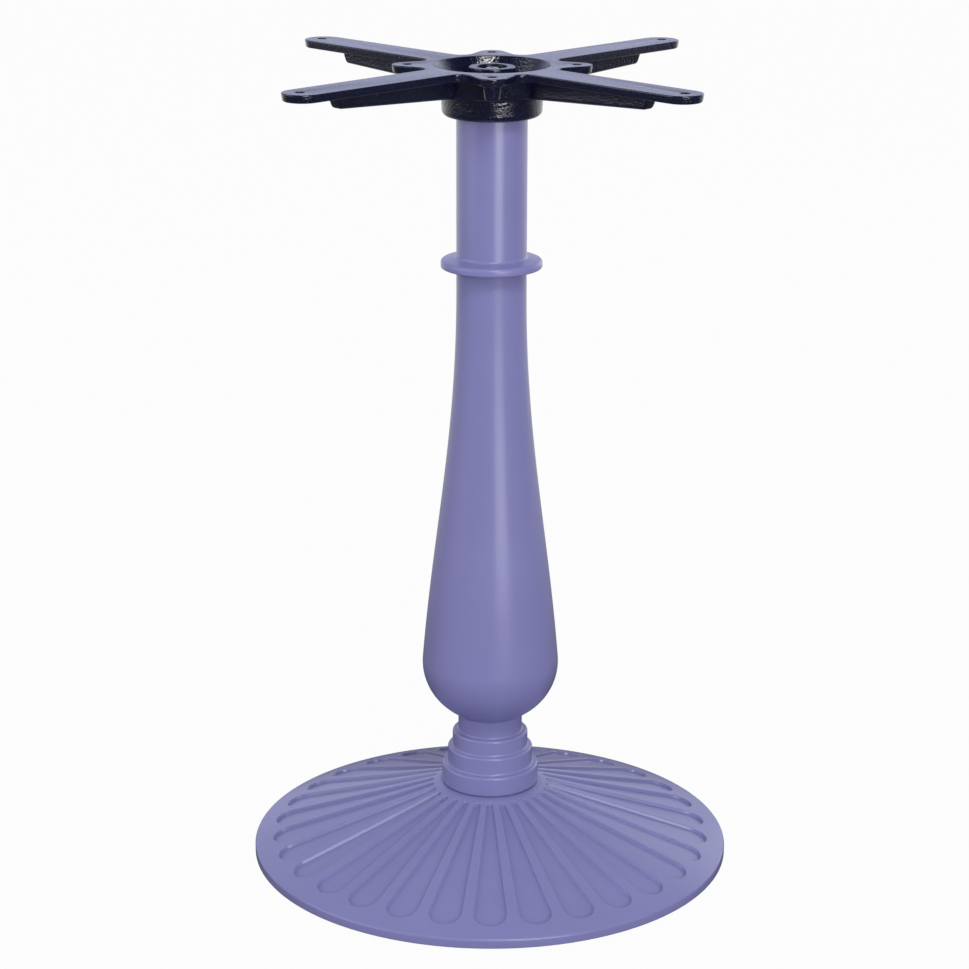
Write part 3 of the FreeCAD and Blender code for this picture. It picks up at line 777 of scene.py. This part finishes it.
@dataclass
class Column:
    """Column casting: stepped foot, neck, bulb, long taper, ring and tube, hollow all the way up."""

    steps: tuple[Point, ...] = ((43.5, 87.4), (38.2, 104.0), (33.9, 118.9))  # radius and height of each tread
    step_edge: float = 2.3
    step_root: float = 1.9
    foot_edge: float = 0.8
    foot_gap: Pair = (1.3, 2.6)         # height and depth of the shadow gap under the foot's outer edge
    gap_round: float = 0.3
    neck_radius: float = 28.7
    neck_top: float = 135.4
    neck_round: float = 3.0
    bulb_radius: float = 60.85
    bulb_half: float = 55.55            # half the bulb's height
    bulb_exit: float = 4.3              # degrees above its equator where the taper leaves it
    pulls: Pair = (0.356, 0.388)        # of the taper's curve, as shares of its rise
    tube_radius: float = 30.4
    taper_top: float = 525.0
    ring_height: float = 545.8
    ring_radius: float = 43.9
    ring_edge: float = 6.8
    ring_crown: float = 2.0
    ring_rounds: Pair = (1.4, 3.0)      # below the ring and above it
    end_rounds: Pair = (0.8, 0.5)       # of the tube's upper end, outside and in the bore
    straight: float = 2.0               # rise from the taper's end to the tube's first corner
    wall: float = 6.0
    foot_bore: float = 36.5
    core: Pair = (2.3, 10.0)            # where the bore widens: below the upper tread, and above the seat
    segments: int = 192
    bulb_steps: int = 30
    taper_steps: int = 44

    @property
    def bulb_centre(self) -> float:
        """Height of the bulb's equator."""
        return self.neck_top + self.bulb_half * math.sqrt(1 - (self.neck_radius / self.bulb_radius) ** 2)

    def swell(self, inset: float) -> list[Point]:
        """Draw the bulb and the taper.

        Args:
            inset: How far inside the outer face the line lies.

        Returns:
            Points from just above the neck up to the tube.
        """
        wide, half = self.bulb_radius - inset, self.bulb_half - inset
        neck, tube = self.neck_radius - inset, self.tube_radius - inset
        leave = math.radians(self.bulb_exit)
        first = -math.acos(neck / wide) + self.neck_round / wide
        turns = [first + (leave - first) * step / self.bulb_steps for step in range(self.bulb_steps + 1)]
        points = [(wide * math.cos(turn), self.bulb_centre + half * math.sin(turn)) for turn in turns]
        rise = self.taper_top - self.bulb_centre
        start = Vector(points[-1])
        end = Vector((tube, self.taper_top))
        pull = Vector((-wide * math.sin(leave), half * math.cos(leave))).normalized() * (self.pulls[0] * rise)
        poles = (start, start + pull, end - Vector((0, self.pulls[1] * rise)), end)
        for step in range(1, self.taper_steps + 1):
            share = step / self.taper_steps
            rest = 1 - share
            weights = (rest ** 3, 3 * rest ** 2 * share, 3 * rest * share ** 2, share ** 3)
            spot = sum((pole * weight for pole, weight in zip(poles, weights)), Vector((0, 0)))
            points.append((spot.x, spot.y))
        return points

    def profile(self) -> list[Point]:
        """Outline the column's section.

        Returns:
            Points up the outside and down the bore.
        """
        gap_top, land = SEAT_HEIGHT + self.foot_gap[0], self.steps[0][0] - self.foot_gap[1]
        foot: list[Corner] = [(self.foot_bore, SEAT_HEIGHT, 0), (land, SEAT_HEIGHT, 0), (land, gap_top, self.gap_round),
                              (self.steps[0][0], gap_top, self.foot_edge)]
        inner_radii = [radius for radius, _ in self.steps[1:]] + [self.neck_radius]
        for (radius, height), inner in zip(self.steps, inner_radii):
            foot += [(radius, height, self.step_edge), (inner, height, self.step_root)]
        swell = self.swell(0.0)
        outside = rounded([*foot, (self.neck_radius, self.neck_top, self.neck_round), (*swell[0], 0)])
        edge = self.ring_height + self.ring_edge
        start = self.taper_top + self.straight
        bore = self.tube_radius - self.wall
        below, above = self.ring_rounds
        upper = rounded([
            (self.tube_radius, start, 0),
            (self.tube_radius, self.ring_height, below),
            (self.ring_radius, self.ring_height, below),
            (self.ring_radius, edge, above),
            (self.tube_radius, edge + self.ring_crown, above),
            (self.tube_radius, COLUMN_TOP, self.end_rounds[0]),
            (bore, COLUMN_TOP, self.end_rounds[1]),
            (bore, start, 0),
        ])
        core = [(self.neck_radius - self.wall, self.steps[-1][1] - self.core[0]),
                (self.foot_bore, SEAT_HEIGHT + self.core[1])]
        return [*outside, *swell[1:], *upper, *reversed(self.swell(self.wall)), *core]

    def build(self, finish: Material) -> Object:
        """Make the column in its powder coat, set it on the frame and return it."""
        piece = Shell().lathe(self.profile(), self.segments, closed=True).to_object("column_bulb_and_ring")
        return settle(piece, finish, "stand", "column")


@dataclass
class Spider:
    """Spider casting: four ribbed arms and four ears round a drum, a hub and a dish with a central boss."""

    hole_circle: float = 215.0
    arm_tip: Pair = (212.2, 17.4)       # how far out the tip's rounding is centred, and its radius
    arm_root: float = 18.5
    ear_hole_circle: float = 71.4
    ear_tip: Pair = (72.6, 12.2)
    ear_root: float = 41.0
    corner_round: float = 9.5
    thickness: float = 7.0
    draft: float = 1.2
    upper_round: float = 0.9
    lower_round: float = 1.6
    strips: Pair = (0.8, 1.0)           # flat strips beside these roundings
    arc_steps: tuple[int, int, int] = (10, 12, 14)  # round half an ear's tip, a corner and half an arm's tip
    arms: int = 4                       # and as many ears
    rib_half: float = 6.5
    rib_rounds: Pair = (3.0, 2.5)       # of its lower edges and its root
    rib_toe: Corner = (176.5, 702.7, 2.5)  # where its lower edge turns up into the plate
    rib_end: Point = (181.5, 716.5)     # inside the plate
    rib_bend: float = 10.0              # where the rib leaves the drum
    buried: float = 716.0               # height inside the plate from which the drum hangs
    drum_flare: tuple[Point, Corner] = ((60.0, 713.7), (54.0, 712.7, 3.0))  # its two ends, at the plate
    drum_radius: float = 51.0           # at its foot
    drum_foot: float = 696.5
    drum_round: float = 2.5
    hub_radii: Pair = (43.5, 42.6)      # at the drum and at its foot
    hub_foot: float = 676.9
    hub_round: float = 5.5
    ear_boss_line: tuple[Corner, ...] = (  # half section of the boss under an ear
        (0, 716.3, 0), (11.4, 716.3, 0), (11.4, 713.6, 0), (8.2, 712.6, 2.0), (6.2, 700.8, 1.8), (0, 700.8, 0))
    dish_radii: Pair = (49.6, 39.0)     # at its lip and its floor
    dish_floor: float = 700.0
    dish_rounds: Pair = (1.4, 4.5)
    boss_radii: Pair = (20.8, 19.8)     # of the boss in the dish, at its root and its top
    boss_top: float = 718.4
    boss_round: float = 1.0
    recess_radii: Pair = (12.9, 13.5)   # of the nut's recess, inside and at its mouth
    recess_chamfer: float = 0.7
    recess_rounds: Pair = (0.3, 0.5)    # at its mouth and its floor
    socket_radii: Pair = (30.7, 31.9)   # of the column's socket, inside and at its mouth
    socket_mouth: Pair = (1.0, -0.2)    # heights above the hub's foot where the mouth starts and ends
    socket_round: float = 0.4
    hole_radius: float = 4.0
    hole_edge: float = 0.6
    hole_foot: float = 700.0            # where the tool for the screw holes starts, below the plate
    lip_gap: float = 0.02               # how far the tools' rims clear the face, so that no two faces coincide
    segments: int = 144

    def outline(self, grow: float) -> list[Point]:
        """Outline of the plate seen from above.

        Args:
            grow: How far it lies outside the plate's own outline.

        Returns:
            Points all round, from the tip of the ear at +X.
        """
        ear_out, ear_radius = self.ear_tip
        arm_out, arm_radius = self.arm_tip
        diagonal = math.radians(DIAGONAL)
        ear_side = math.pi / 2 - math.asin((self.ear_root - ear_radius) / ear_out)
        arm_side = diagonal - (math.pi / 2 - math.asin((self.arm_root - arm_radius) / arm_out))
        ear_normal = Vector((math.cos(ear_side), math.sin(ear_side)))
        arm_normal = Vector((math.cos(arm_side), math.sin(arm_side)))
        sides = Matrix((ear_normal, arm_normal))
        reach = Vector((self.ear_root + self.corner_round, self.arm_root + self.corner_round))
        corner = sides.inverted() @ reach
        ear = Vector((ear_out, 0))
        arm = Vector((math.cos(diagonal), math.sin(diagonal))) * arm_out
        path = []
        for centre, radius, begin, end, count in (
                (ear, ear_radius + grow, 0.0, ear_side, self.arc_steps[0]),
                (corner, self.corner_round - grow, ear_side + math.pi, arm_side + math.pi, self.arc_steps[1]),
                (arm, arm_radius + grow, arm_side, diagonal, self.arc_steps[2])):
            for step in range(count + 1):
                turn = begin + (end - begin) * step / count
                path.append(centre + Vector((math.cos(turn), math.sin(turn))) * radius)
        quadrant = path + [Vector((point.y, point.x)) for point in path[-2:0:-1]]
        points = []
        for quarter in range(self.arms):
            turn = Matrix.Rotation(quarter * math.pi / 2, 2)
            points += [tuple(turn @ point) for point in quadrant]
        return points

    def plate(self) -> Shell:
        """Draw arms and ears as one plate with drafted sides and rounded edges.

        Returns:
            A closed shell.
        """
        low = TOP_HEIGHT - self.thickness
        section = rounded([
            (-self.upper_round - self.strips[0], TOP_HEIGHT, 0),
            (0, TOP_HEIGHT, self.upper_round),
            (-self.draft, low, self.lower_round),
            (-self.draft - self.lower_round - self.strips[1], low, 0),
        ])
        return Shell().stack([[Vector((x, y, height)) for x, y in self.outline(grow)] for grow, height in section])

    def arm_rib(self) -> Shell:
        """Draw the rib under the arm that points along +X.

        Returns:
            A closed shell.
        """
        start = 20.0                # inside the drum
        low_line = rounded([(start, self.drum_foot, 0), (self.drum_radius, self.drum_foot, self.rib_bend), self.rib_toe,
                            (*self.rib_end, 0)])
        face = TOP_HEIGHT - self.thickness
        return ribbed([(out, low, face) for out, low in low_line], self.rib_half, *self.rib_rounds)

    def drum(self) -> Shell:
        """Draw the drum under the plate and the hub that holds the column.

        Returns:
            A closed shell.
        """
        lap, flare = self.drum_flare
        return Shell().lathe(rounded([
            (0, self.buried, 0), (lap[0], self.buried, 0), (*lap, 0), flare,
            (self.drum_radius, self.drum_foot, self.drum_round), (self.hub_radii[0], self.drum_foot, self.drum_round),
            (self.hub_radii[1], self.hub_foot, self.hub_round), (0, self.hub_foot, 0),
        ]), self.segments)

    def ear_boss(self) -> Shell:
        """Tapered boss under an ear."""
        return Shell().lathe(rounded(self.ear_boss_line), BOSS_SEGMENTS)

    def bore(self) -> Shell:
        """Draw the tool for the dish, the recess of the upper nut, the rod's hole and the column's socket.

        Returns:
            A closed shell.
        """
        lip = TOP_HEIGHT + self.lip_gap
        above, rim = TOP_HEIGHT + 4.0, 58.0     # upper end of the tool, and its radius there
        below = self.hub_foot - 2 * PAST
        recess, mouth = self.recess_radii
        socket, entry = self.socket_radii
        start, end = (self.hub_foot + rise for rise in self.socket_mouth)
        return Shell().lathe(rounded([
            (0, above, 0), (rim, above, 0), (rim, lip, 0),
            (self.dish_radii[0], lip, self.dish_rounds[0]),
            (self.dish_radii[1], self.dish_floor, self.dish_rounds[1]),
            (self.boss_radii[0], self.dish_floor, self.dish_rounds[1]),
            (self.boss_radii[1], self.boss_top, self.boss_round),
            (mouth, self.boss_top, self.recess_rounds[0]),
            (recess, self.boss_top - self.recess_chamfer, self.recess_rounds[0]),
            (recess, COUNTERBORE_HEIGHT, self.recess_rounds[1]),
            (ROD_HOLE, COUNTERBORE_HEIGHT, 0), (ROD_HOLE, COLUMN_TOP, 0), (socket, COLUMN_TOP, 0),
            (socket, start, self.socket_round), (entry, end, 0), (entry, below, 0), (0, below, 0),
        ]), self.segments)

    def screw_hole(self) -> Shell:
        """Draw the tool for a screw hole with a broken upper edge.

        Returns:
            A closed shell.
        """
        lip = TOP_HEIGHT + self.lip_gap
        hole, wide = self.hole_radius, self.hole_radius + 2 * PAST
        return Shell().lathe(rounded([
            (0, self.hole_foot, 0), (hole, self.hole_foot, 0), (hole, lip, self.hole_edge), (wide, lip, 0),
            (wide, lip + 2 * PAST, 0), (0, lip + 2 * PAST, 0),
        ]), HOLE_SEGMENTS)

    def build(self, finish: Material) -> Object:
        """Make the spider and set it on the frame.

        Args:
            finish: Its black paint.

        Returns:
            The piece.
        """
        piece = self.plate().to_object("spider_four_arms")
        combine(piece, [self.drum(), self.arm_rib().around(self.arms, DIAGONAL),
                        self.ear_boss().around(self.arms, 0.0, self.ear_hole_circle)], Join.ADD)
        hole = self.screw_hole()
        combine(piece, [self.bore(), hole.around(self.arms, DIAGONAL, self.hole_circle),
                        hole.around(self.arms, 0.0, self.ear_hole_circle)], Join.CUT)
        return settle(piece, finish, "stand", "spider")


@dataclass(frozen=True)
class Thread:
    """Metric thread as it is cut: a ridge that climbs one pitch a turn."""

    radius: float
    pitch: float
    depth: float
    rows: int = 8                       # rows of points in a pitch
    segments: int = 40
    flats: Pair = (0.12, 0.7)           # shares of half a pitch that the crest takes up, and the flank below it

    def loops(self, bottom: float, top: float, chamfers: Pair) -> list[list[Vector]]:
        """Rings of points up a threaded stretch.

        Args:
            bottom: Height of its lower end.
            top: Height of its upper end.
            chamfers: How much narrower the two ends are.

        Returns:
            Closed loops, upwards.
        """
        count = max(2, round((top - bottom) / self.pitch * self.rows))
        crest, flank = self.flats
        loops = []
        for step in range(count + 1):
            height = bottom + (top - bottom) * step / count
            limit = self.radius - max(0.0, chamfers[0] - (height - bottom), chamfers[1] - (top - height))
            ring = []
            for spoke in range(self.segments):
                climb = (height / self.pitch - spoke / self.segments) % 1.0
                tooth = min(1.0, max(0.0, (abs(2 * climb - 1) - crest) / flank))
                radius = min(limit, self.radius - self.depth * tooth)
                ring.append(polar(radius, math.tau * spoke / self.segments, height))
            loops.append(ring)
        return loops


def hexagon(across_flats: float, bottom: float, top: float) -> Shell:
    """Closed hexagonal prism about Z, between two heights."""
    corner = across_flats / math.sqrt(3)
    return Shell().stack([circle(corner, bottom, 6), circle(corner, top, 6)])


@dataclass
class TieRod:
    """Threaded rod that clamps the spider, the column and the base, with its nuts and washers."""

    thread: Thread = Thread(6.0, 1.75, 0.95)
    bottom: float = 13.3
    top: float = 717.2
    threaded: Pair = (45.0, 40.0)       # lengths of thread at the lower and the upper end
    chamfer: float = 1.2
    dimple: Pair = (2.0, 2.4)           # radius and depth of the centre drilled in its upper end
    nut_width: float = 19.0
    nut_height: float = 10.0
    nuts: Pair = (18.3, 703.5)          # heights of their lower faces
    nut_face: float = 0.4               # how far inside the flats the turned faces of a nut end
    nut_bevel: float = 30.0             # degrees
    nut_chamfer: float = 0.6            # at the ends of its bore
    nut_play: float = 0.05              # round the thread
    nut_over: float = 0.01              # how far the hexagon reaches past the turned shape that trims it
    washer_play: float = 0.5            # round the thread
    washer_rounds: Pair = (0.5, 0.3)    # outside and in the bore
    turn_segments: int = 96
    bore_segments: int = 64
    washer_segments: int = 72
    spring_steps: int = 64
    runout: float = 0.5                 # how much narrower a thread is where it meets the shank

    def rod(self) -> Shell:
        """Draw the rod with cut threads at both ends and a plain shank between them.

        Returns:
            A closed shell.
        """
        ends = self.chamfer
        loops = self.thread.loops(self.bottom, self.bottom + self.threaded[0], (ends, self.runout))
        loops += self.thread.loops(self.top - self.threaded[1], self.top, (self.runout, ends))
        count = self.thread.segments
        radius, depth = self.dimple
        tail = circle(0, self.bottom, count)
        lip = circle(radius, self.top, count)
        floor = circle(0, self.top - depth, count)
        return Shell().stack([tail, *loops, lip, floor], capped=False)

    def nut(self, low: float, name: str) -> Object:
        """Hexagon nut with turned corners and a chamfered bore.

        Args:
            low: Height of its lower face.
            name: The object's name.

        Returns:
            The object.
        """
        high = low + self.nut_height
        corner, face = self.nut_width / math.sqrt(3), 0.5 * self.nut_width - self.nut_face
        fall = (corner - face) * math.tan(math.radians(self.nut_bevel))
        turned = Shell().lathe([(0, low), (face, low), (corner, low + fall), (corner, high - fall), (face, high),
                                (0, high)], self.turn_segments)
        bore, cut = self.thread.radius + self.nut_play, self.nut_chamfer
        mouth = bore + cut + PAST
        hole = Shell().lathe([(0, low - PAST), (mouth, low - PAST), (bore + cut, low), (bore, low + cut),
                              (bore, high - cut), (bore + cut, high), (mouth, high + PAST), (0, high + PAST)],
                             self.bore_segments)
        piece = hexagon(self.nut_width, low - self.nut_over, high + self.nut_over).to_object(name)
        combine(piece, [turned], Join.KEEP)
        combine(piece, [hole], Join.CUT)
        return piece

    def washer(self, radius: float, low: float, thickness: float, split: float = 0.0) -> Shell:
        """Punched flat washer, or a coiled spring washer with a slanted split.

        Args:
            radius: Outer radius.
            low: Height of its lower face.
            thickness: Its thickness.
            split: Width of the split, or 0 for a flat washer.

        Returns:
            A closed shell.
        """
        bore = self.thread.radius + self.washer_play
        middle = 0.5 * (bore + radius)
        high = low + thickness
        outside, inside = self.washer_rounds
        section = rounded([(middle, low, 0), (radius, low, outside), (radius, high, outside), (bore, high, inside),
                           (bore, low, inside), (middle, low, 0)])[:-1]
        if split <= 0:
            return Shell().lathe(section, self.washer_segments, closed=True)
        gap = split / radius
        lean = 0.5 * gap
        loops = []
        for step in range(self.spring_steps + 1):
            turn = gap / 2 + (math.tau - gap) * step / self.spring_steps
            ring = []
            for out, height in section:
                spot = turn + lean * ((height - low) / thickness - 0.5)
                ring.append(polar(out, spot, height))
            loops.append(ring)
        return Shell().stack(loops)

    def build(self, finish: Material) -> list[Object]:
        """Make the rod, nuts and washers and set them on the frame.

        Args:
            finish: Their zinc plate.

        Returns:
            The pieces.
        """
        spring = partial(self.washer, radius=10.45, thickness=2.5, split=1.4)
        made = {
            "tie_rod": self.rod().to_object("rod_threaded_ends"),
            "bottom_nut": self.nut(self.nuts[0], "nut_under_base"),
            "top_nut": self.nut(self.nuts[1], "nut_in_spider"),
            "top_washer": self.washer(radius=12.0, low=COUNTERBORE_HEIGHT, thickness=2.5).to_object("washer_in_spider"),
            "top_spring_washer": spring(low=701.0).to_object("spring_washer_in_spider"),
            "bottom_washer": self.washer(radius=20.0, low=30.8, thickness=4.0).to_object("washer_under_base"),
            "bottom_spring_washer": spring(low=28.3).to_object("spring_washer_under_base"),
        }
        return [settle(piece, finish, "stand", node) for node, piece in made.items()]


@dataclass
class LevellingFoot:
    """Levelling foot: a hexagon bolt with a pad moulded over its head."""

    number: int
    thread: Thread = Thread(4.0, 1.25, 0.65)
    pad_radius: float = 13.0
    pad_height: float = 8.0
    pad_draft: float = 0.4
    pad_round: float = 1.5
    pad_segments: int = 96
    sole_rings: Pair = (3.0, 7.5)       # radii where the two rings in the sole start
    sole_groove: tuple[Point, ...] = ((0, 0), (0.4, 0.5), (1.6, 0.5), (2.0, 0))  # section of such a ring
    sole_round: float = 0.2
    head_width: float = 13.0
    head_height: float = 5.0
    head_gap: float = 0.1               # play of the head in the pad's recess
    head_lap: float = 0.2               # how far the shank starts inside the head
    shank_top: float = 18.7
    shank_chamfer: float = 0.8

    @property
    def body(self) -> str:
        """Name of the CAD body that carries the foot."""
        return "levelling_foot_%d" % self.number

    def pad(self) -> Object:
        """Make the pad, with a hexagon recess for the head and rings moulded in its sole.

        Returns:
            The object.
        """
        corners: list[Corner] = [(0, 0, 0)]
        for start in self.sole_rings:
            corners += [(start + out, sunk, self.sole_round) for out, sunk in self.sole_groove]
        corners += [(self.pad_radius - self.pad_draft, 0, self.pad_round),
                    (self.pad_radius, self.pad_height, self.pad_round), (0, self.pad_height, 0)]
        piece = self.placed(Shell().lathe(rounded(corners), self.pad_segments)).to_object("foot_pad_%d" % self.number)
        recess = hexagon(self.head_width + self.head_gap, self.pad_height - self.head_height, self.pad_height + PAST)
        combine(piece, [self.placed(recess)], Join.CUT)
        return piece

    def bolt(self) -> Object:
        """Make the bolt, head down, with a cut thread.

        Returns:
            The object.
        """
        count = self.thread.segments
        low = self.pad_height - self.head_lap
        loops = self.thread.loops(low, self.shank_top, (0.0, self.shank_chamfer))
        shank = Shell().stack([circle(0, low, count), *loops, circle(0, self.shank_top, count)], capped=False)
        head = hexagon(self.head_width, self.pad_height - self.head_height, self.pad_height)
        piece = self.placed(head).to_object("foot_bolt_%d" % self.number)
        combine(piece, [self.placed(shank)], Join.ADD)
        return piece

    def placed(self, shell: Shell) -> Shell:
        """Move a shell from the origin to this foot's place."""
        return shell.around(1, DIAGONAL + 360.0 / FlutedBase.feet * (self.number - 1), FOOT_CIRCLE)

    def build(self, zinc: Material, nylon: Material) -> list[Object]:
        """Make the foot and set it on the frame.

        Args:
            zinc: Finish of the bolt.
            nylon: Finish of the pad.

        Returns:
            The pieces.
        """
        return [
            settle(self.bolt(), zinc, self.body, "levelling_bolt_%d" % self.number),
            settle(self.pad(), nylon, self.body, "glide_pad_%d" % self.number),
        ]


@dataclass(frozen=True)
class Lamp:
    """Soft lamp of the studio, in metres and watts."""

    name: str
    place: tuple[float, float, float]
    target: tuple[float, float, float]
    size: Pair
    power: float

    def build(self) -> None:
        """Hang the lamp, out of the camera's sight."""
        light = bpy.data.lights.new(self.name, "AREA")
        light.shape = "RECTANGLE"
        light.size, light.size_y = self.size
        light.energy = self.power
        lamp = bpy.data.objects.new(self.name, light)
        lamp.location = self.place
        aim = Vector(self.target) - Vector(self.place)
        lamp.rotation_euler = aim.to_track_quat("-Z", "Y").to_euler()
        lamp.visible_camera = False
        bpy.context.scene.collection.objects.link(lamp)


@dataclass
class Studio:
    """White studio: floor, surroundings, lamps, and a camera where the photograph was taken."""

    camera_place: tuple[float, float, float] = (-0.0056, -2.3161, 1.0643)  # metres
    camera_pitch: float = 17.15         # degrees below level
    camera_roll: float = 0.14           # degrees
    focal_length: float = 102.1         # millimetres
    sensor: float = 36.0                # millimetres
    view_end: float = 200.0             # metres
    floor_side: float = 60.0            # metres
    floor_faces: Pair = (-0.05, -10.05)  # millimetres: heights of its faces, the upper one just under the feet
    floor_colour: str = "#909090"
    floor_glow: float = 0.97            # share of plain white that the camera sees in the floor
    room_colour: str = "#d8ddff"
    room_level: float = 1.04            # light of the room on the object
    near: float = 0.06                  # how bright floor and walls are on the camera's side, in mirrored rays
    floor_fade: Pair = (0.3, 2.5)       # metres along Y over which the floor gets bright
    room_fade: Pair = (0.15, 0.85)      # share of Y in a direction, over which the walls get bright
    ceiling_fade: Pair = (0.30, 0.70)   # share of Z, over which they give way to a dimmer ceiling
    ceiling: float = 0.5
    lamps: tuple[Lamp, ...] = (
        Lamp("softbox_right", (1.0, -2.35, 0.72), (0.0, 0.0, 0.42), (1.1, 1.3), 25.0),
        Lamp("overhead", (0.35, -1.6, 2.3), (0.0, 0.0, 0.0), (0.6, 0.5), 21.0),
        Lamp("fill_left", (-3.0, -0.8, 1.5), (0.0, 0.0, 0.4), (3.0, 2.6), 31.0),
        Lamp("rim_right", (2.2, 2.6, 1.3), (0.0, 0.0, 0.3), (2.2, 2.0), 10.0),
    )

    def floor(self) -> None:
        """Lay the floor, which the camera sees as almost plain white with the object's shadow on it."""
        half = self.floor_side / 2 / MM
        corners = ((-half, -half), (half, -half), (half, half), (-half, half))
        slab = Shell().stack([[Vector((x, y, height)) for x, y in corners] for height in self.floor_faces])
        material, tree = new_material("studio_floor_matt_white_board")
        direct, seen = background_rays(tree)
        spot = add_node(tree, "SeparateXYZ", {}, {0: add_node(tree, "NewGeometry").outputs["Position"]})
        fade = ramp(tree, spot.outputs["Y"], self.floor_fade, (self.near, 1.0))
        dimmed = add_node(tree, "Math", {"operation": "MULTIPLY", 1: 1.0 - self.floor_glow}, {0: direct})
        share = add_node(tree, "Math", {"operation": "SUBTRACT"}, {0: seen, 1: dimmed.outputs[0]})
        board = add_node(tree, "BsdfDiffuse", {"Color": linear(self.floor_colour)})
        glow = add_node(tree, "Emission", {"Color": linear(WHITE)}, {"Strength": shown(tree, (direct, seen), fade)})
        mix = add_node(tree, "MixShader", {}, {0: share.outputs[0], 1: board.outputs[0], 2: glow.outputs[0]})
        add_node(tree, "OutputMaterial", {}, {"Surface": mix.outputs[0]})
        piece = slab.to_object("floor")
        piece.data.materials.append(material)

    def room(self) -> None:
        """Surround the object with a white room: plain white where it is seen, dimmer as a light."""
        world = bpy.data.worlds.new("white_room")
        bpy.context.scene.world = world
        world.use_nodes = True
        tree = world.node_tree
        tree.nodes.clear()
        direct, seen = background_rays(tree)
        aim = add_node(tree, "SeparateXYZ", {}, {0: add_node(tree, "TexCoord").outputs["Generated"]}).outputs
        walls = ramp(tree, aim["Y"], self.room_fade, (self.near, 1.0))
        roof = ramp(tree, aim["Z"], self.ceiling_fade, (1.0, self.ceiling))
        fade = add_node(tree, "Math", {"operation": "MULTIPLY"}, {0: walls, 1: roof}).outputs[0]
        unseen = ramp(tree, seen, ends=(self.room_level, 0.0))
        plain = add_node(tree, "Math", {"operation": "MULTIPLY"}, {0: unseen, 1: roof}).outputs[0]
        level = add_node(tree, "Math", {"operation": "MAXIMUM"}, {0: shown(tree, (direct, seen), fade), 1: plain})
        mirrored = add_node(tree, "Math", {"operation": "SUBTRACT"}, {0: seen, 1: direct})
        tint = add_node(tree, "Mix", {"data_type": "RGBA", 6: linear(WHITE), 7: linear(self.room_colour)},
                        {0: mirrored.outputs[0]})
        light = add_node(tree, "Background", {}, {"Color": tint.outputs[2], "Strength": level.outputs[0]})
        add_node(tree, "OutputWorld", {}, {"Surface": light.outputs[0]})

    def camera(self) -> None:
        """Stand the camera where the photograph was taken from."""
        lens = bpy.data.cameras.new("camera")
        lens.sensor_fit = "HORIZONTAL"
        lens.sensor_width = self.sensor
        lens.lens = self.focal_length
        lens.clip_end = self.view_end
        eye = bpy.data.objects.new("camera", lens)
        turn = Matrix.Rotation(math.radians(90.0 - self.camera_pitch), 4, "X")
        roll = Matrix.Rotation(math.radians(self.camera_roll), 4, "Z")
        eye.matrix_world = Matrix.Translation(self.camera_place) @ turn @ roll
        bpy.context.scene.collection.objects.link(eye)
        bpy.context.scene.camera = eye

    def build(self) -> None:
        """Set up the whole studio."""
        self.floor()
        self.room()
        for lamp in self.lamps:
            lamp.build()
        self.camera()
        bpy.context.scene.view_settings.view_transform = "Standard"


def main() -> None:
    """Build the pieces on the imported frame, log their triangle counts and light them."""
    logging.basicConfig(level=logging.INFO, format="%(message)s")
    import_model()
    lavender = SatinPowderCoat().material()
    black = SandCastBlack().material()
    zinc = ZincPlate().material()
    nylon = MouldedNylon().material()
    pieces = [FlutedBase().build(lavender), Column().build(lavender), Spider().build(black), *TieRod().build(zinc)]
    for number in range(1, FlutedBase.feet + 1):
        pieces += LevellingFoot(number).build(zinc, nylon)
    for piece in pieces:
        LOG.info("%s: %d triangles", piece.name, sum(len(face.vertices) - 2 for face in piece.data.polygons))
    Studio().build()


if __name__ == "__main__":
    main()
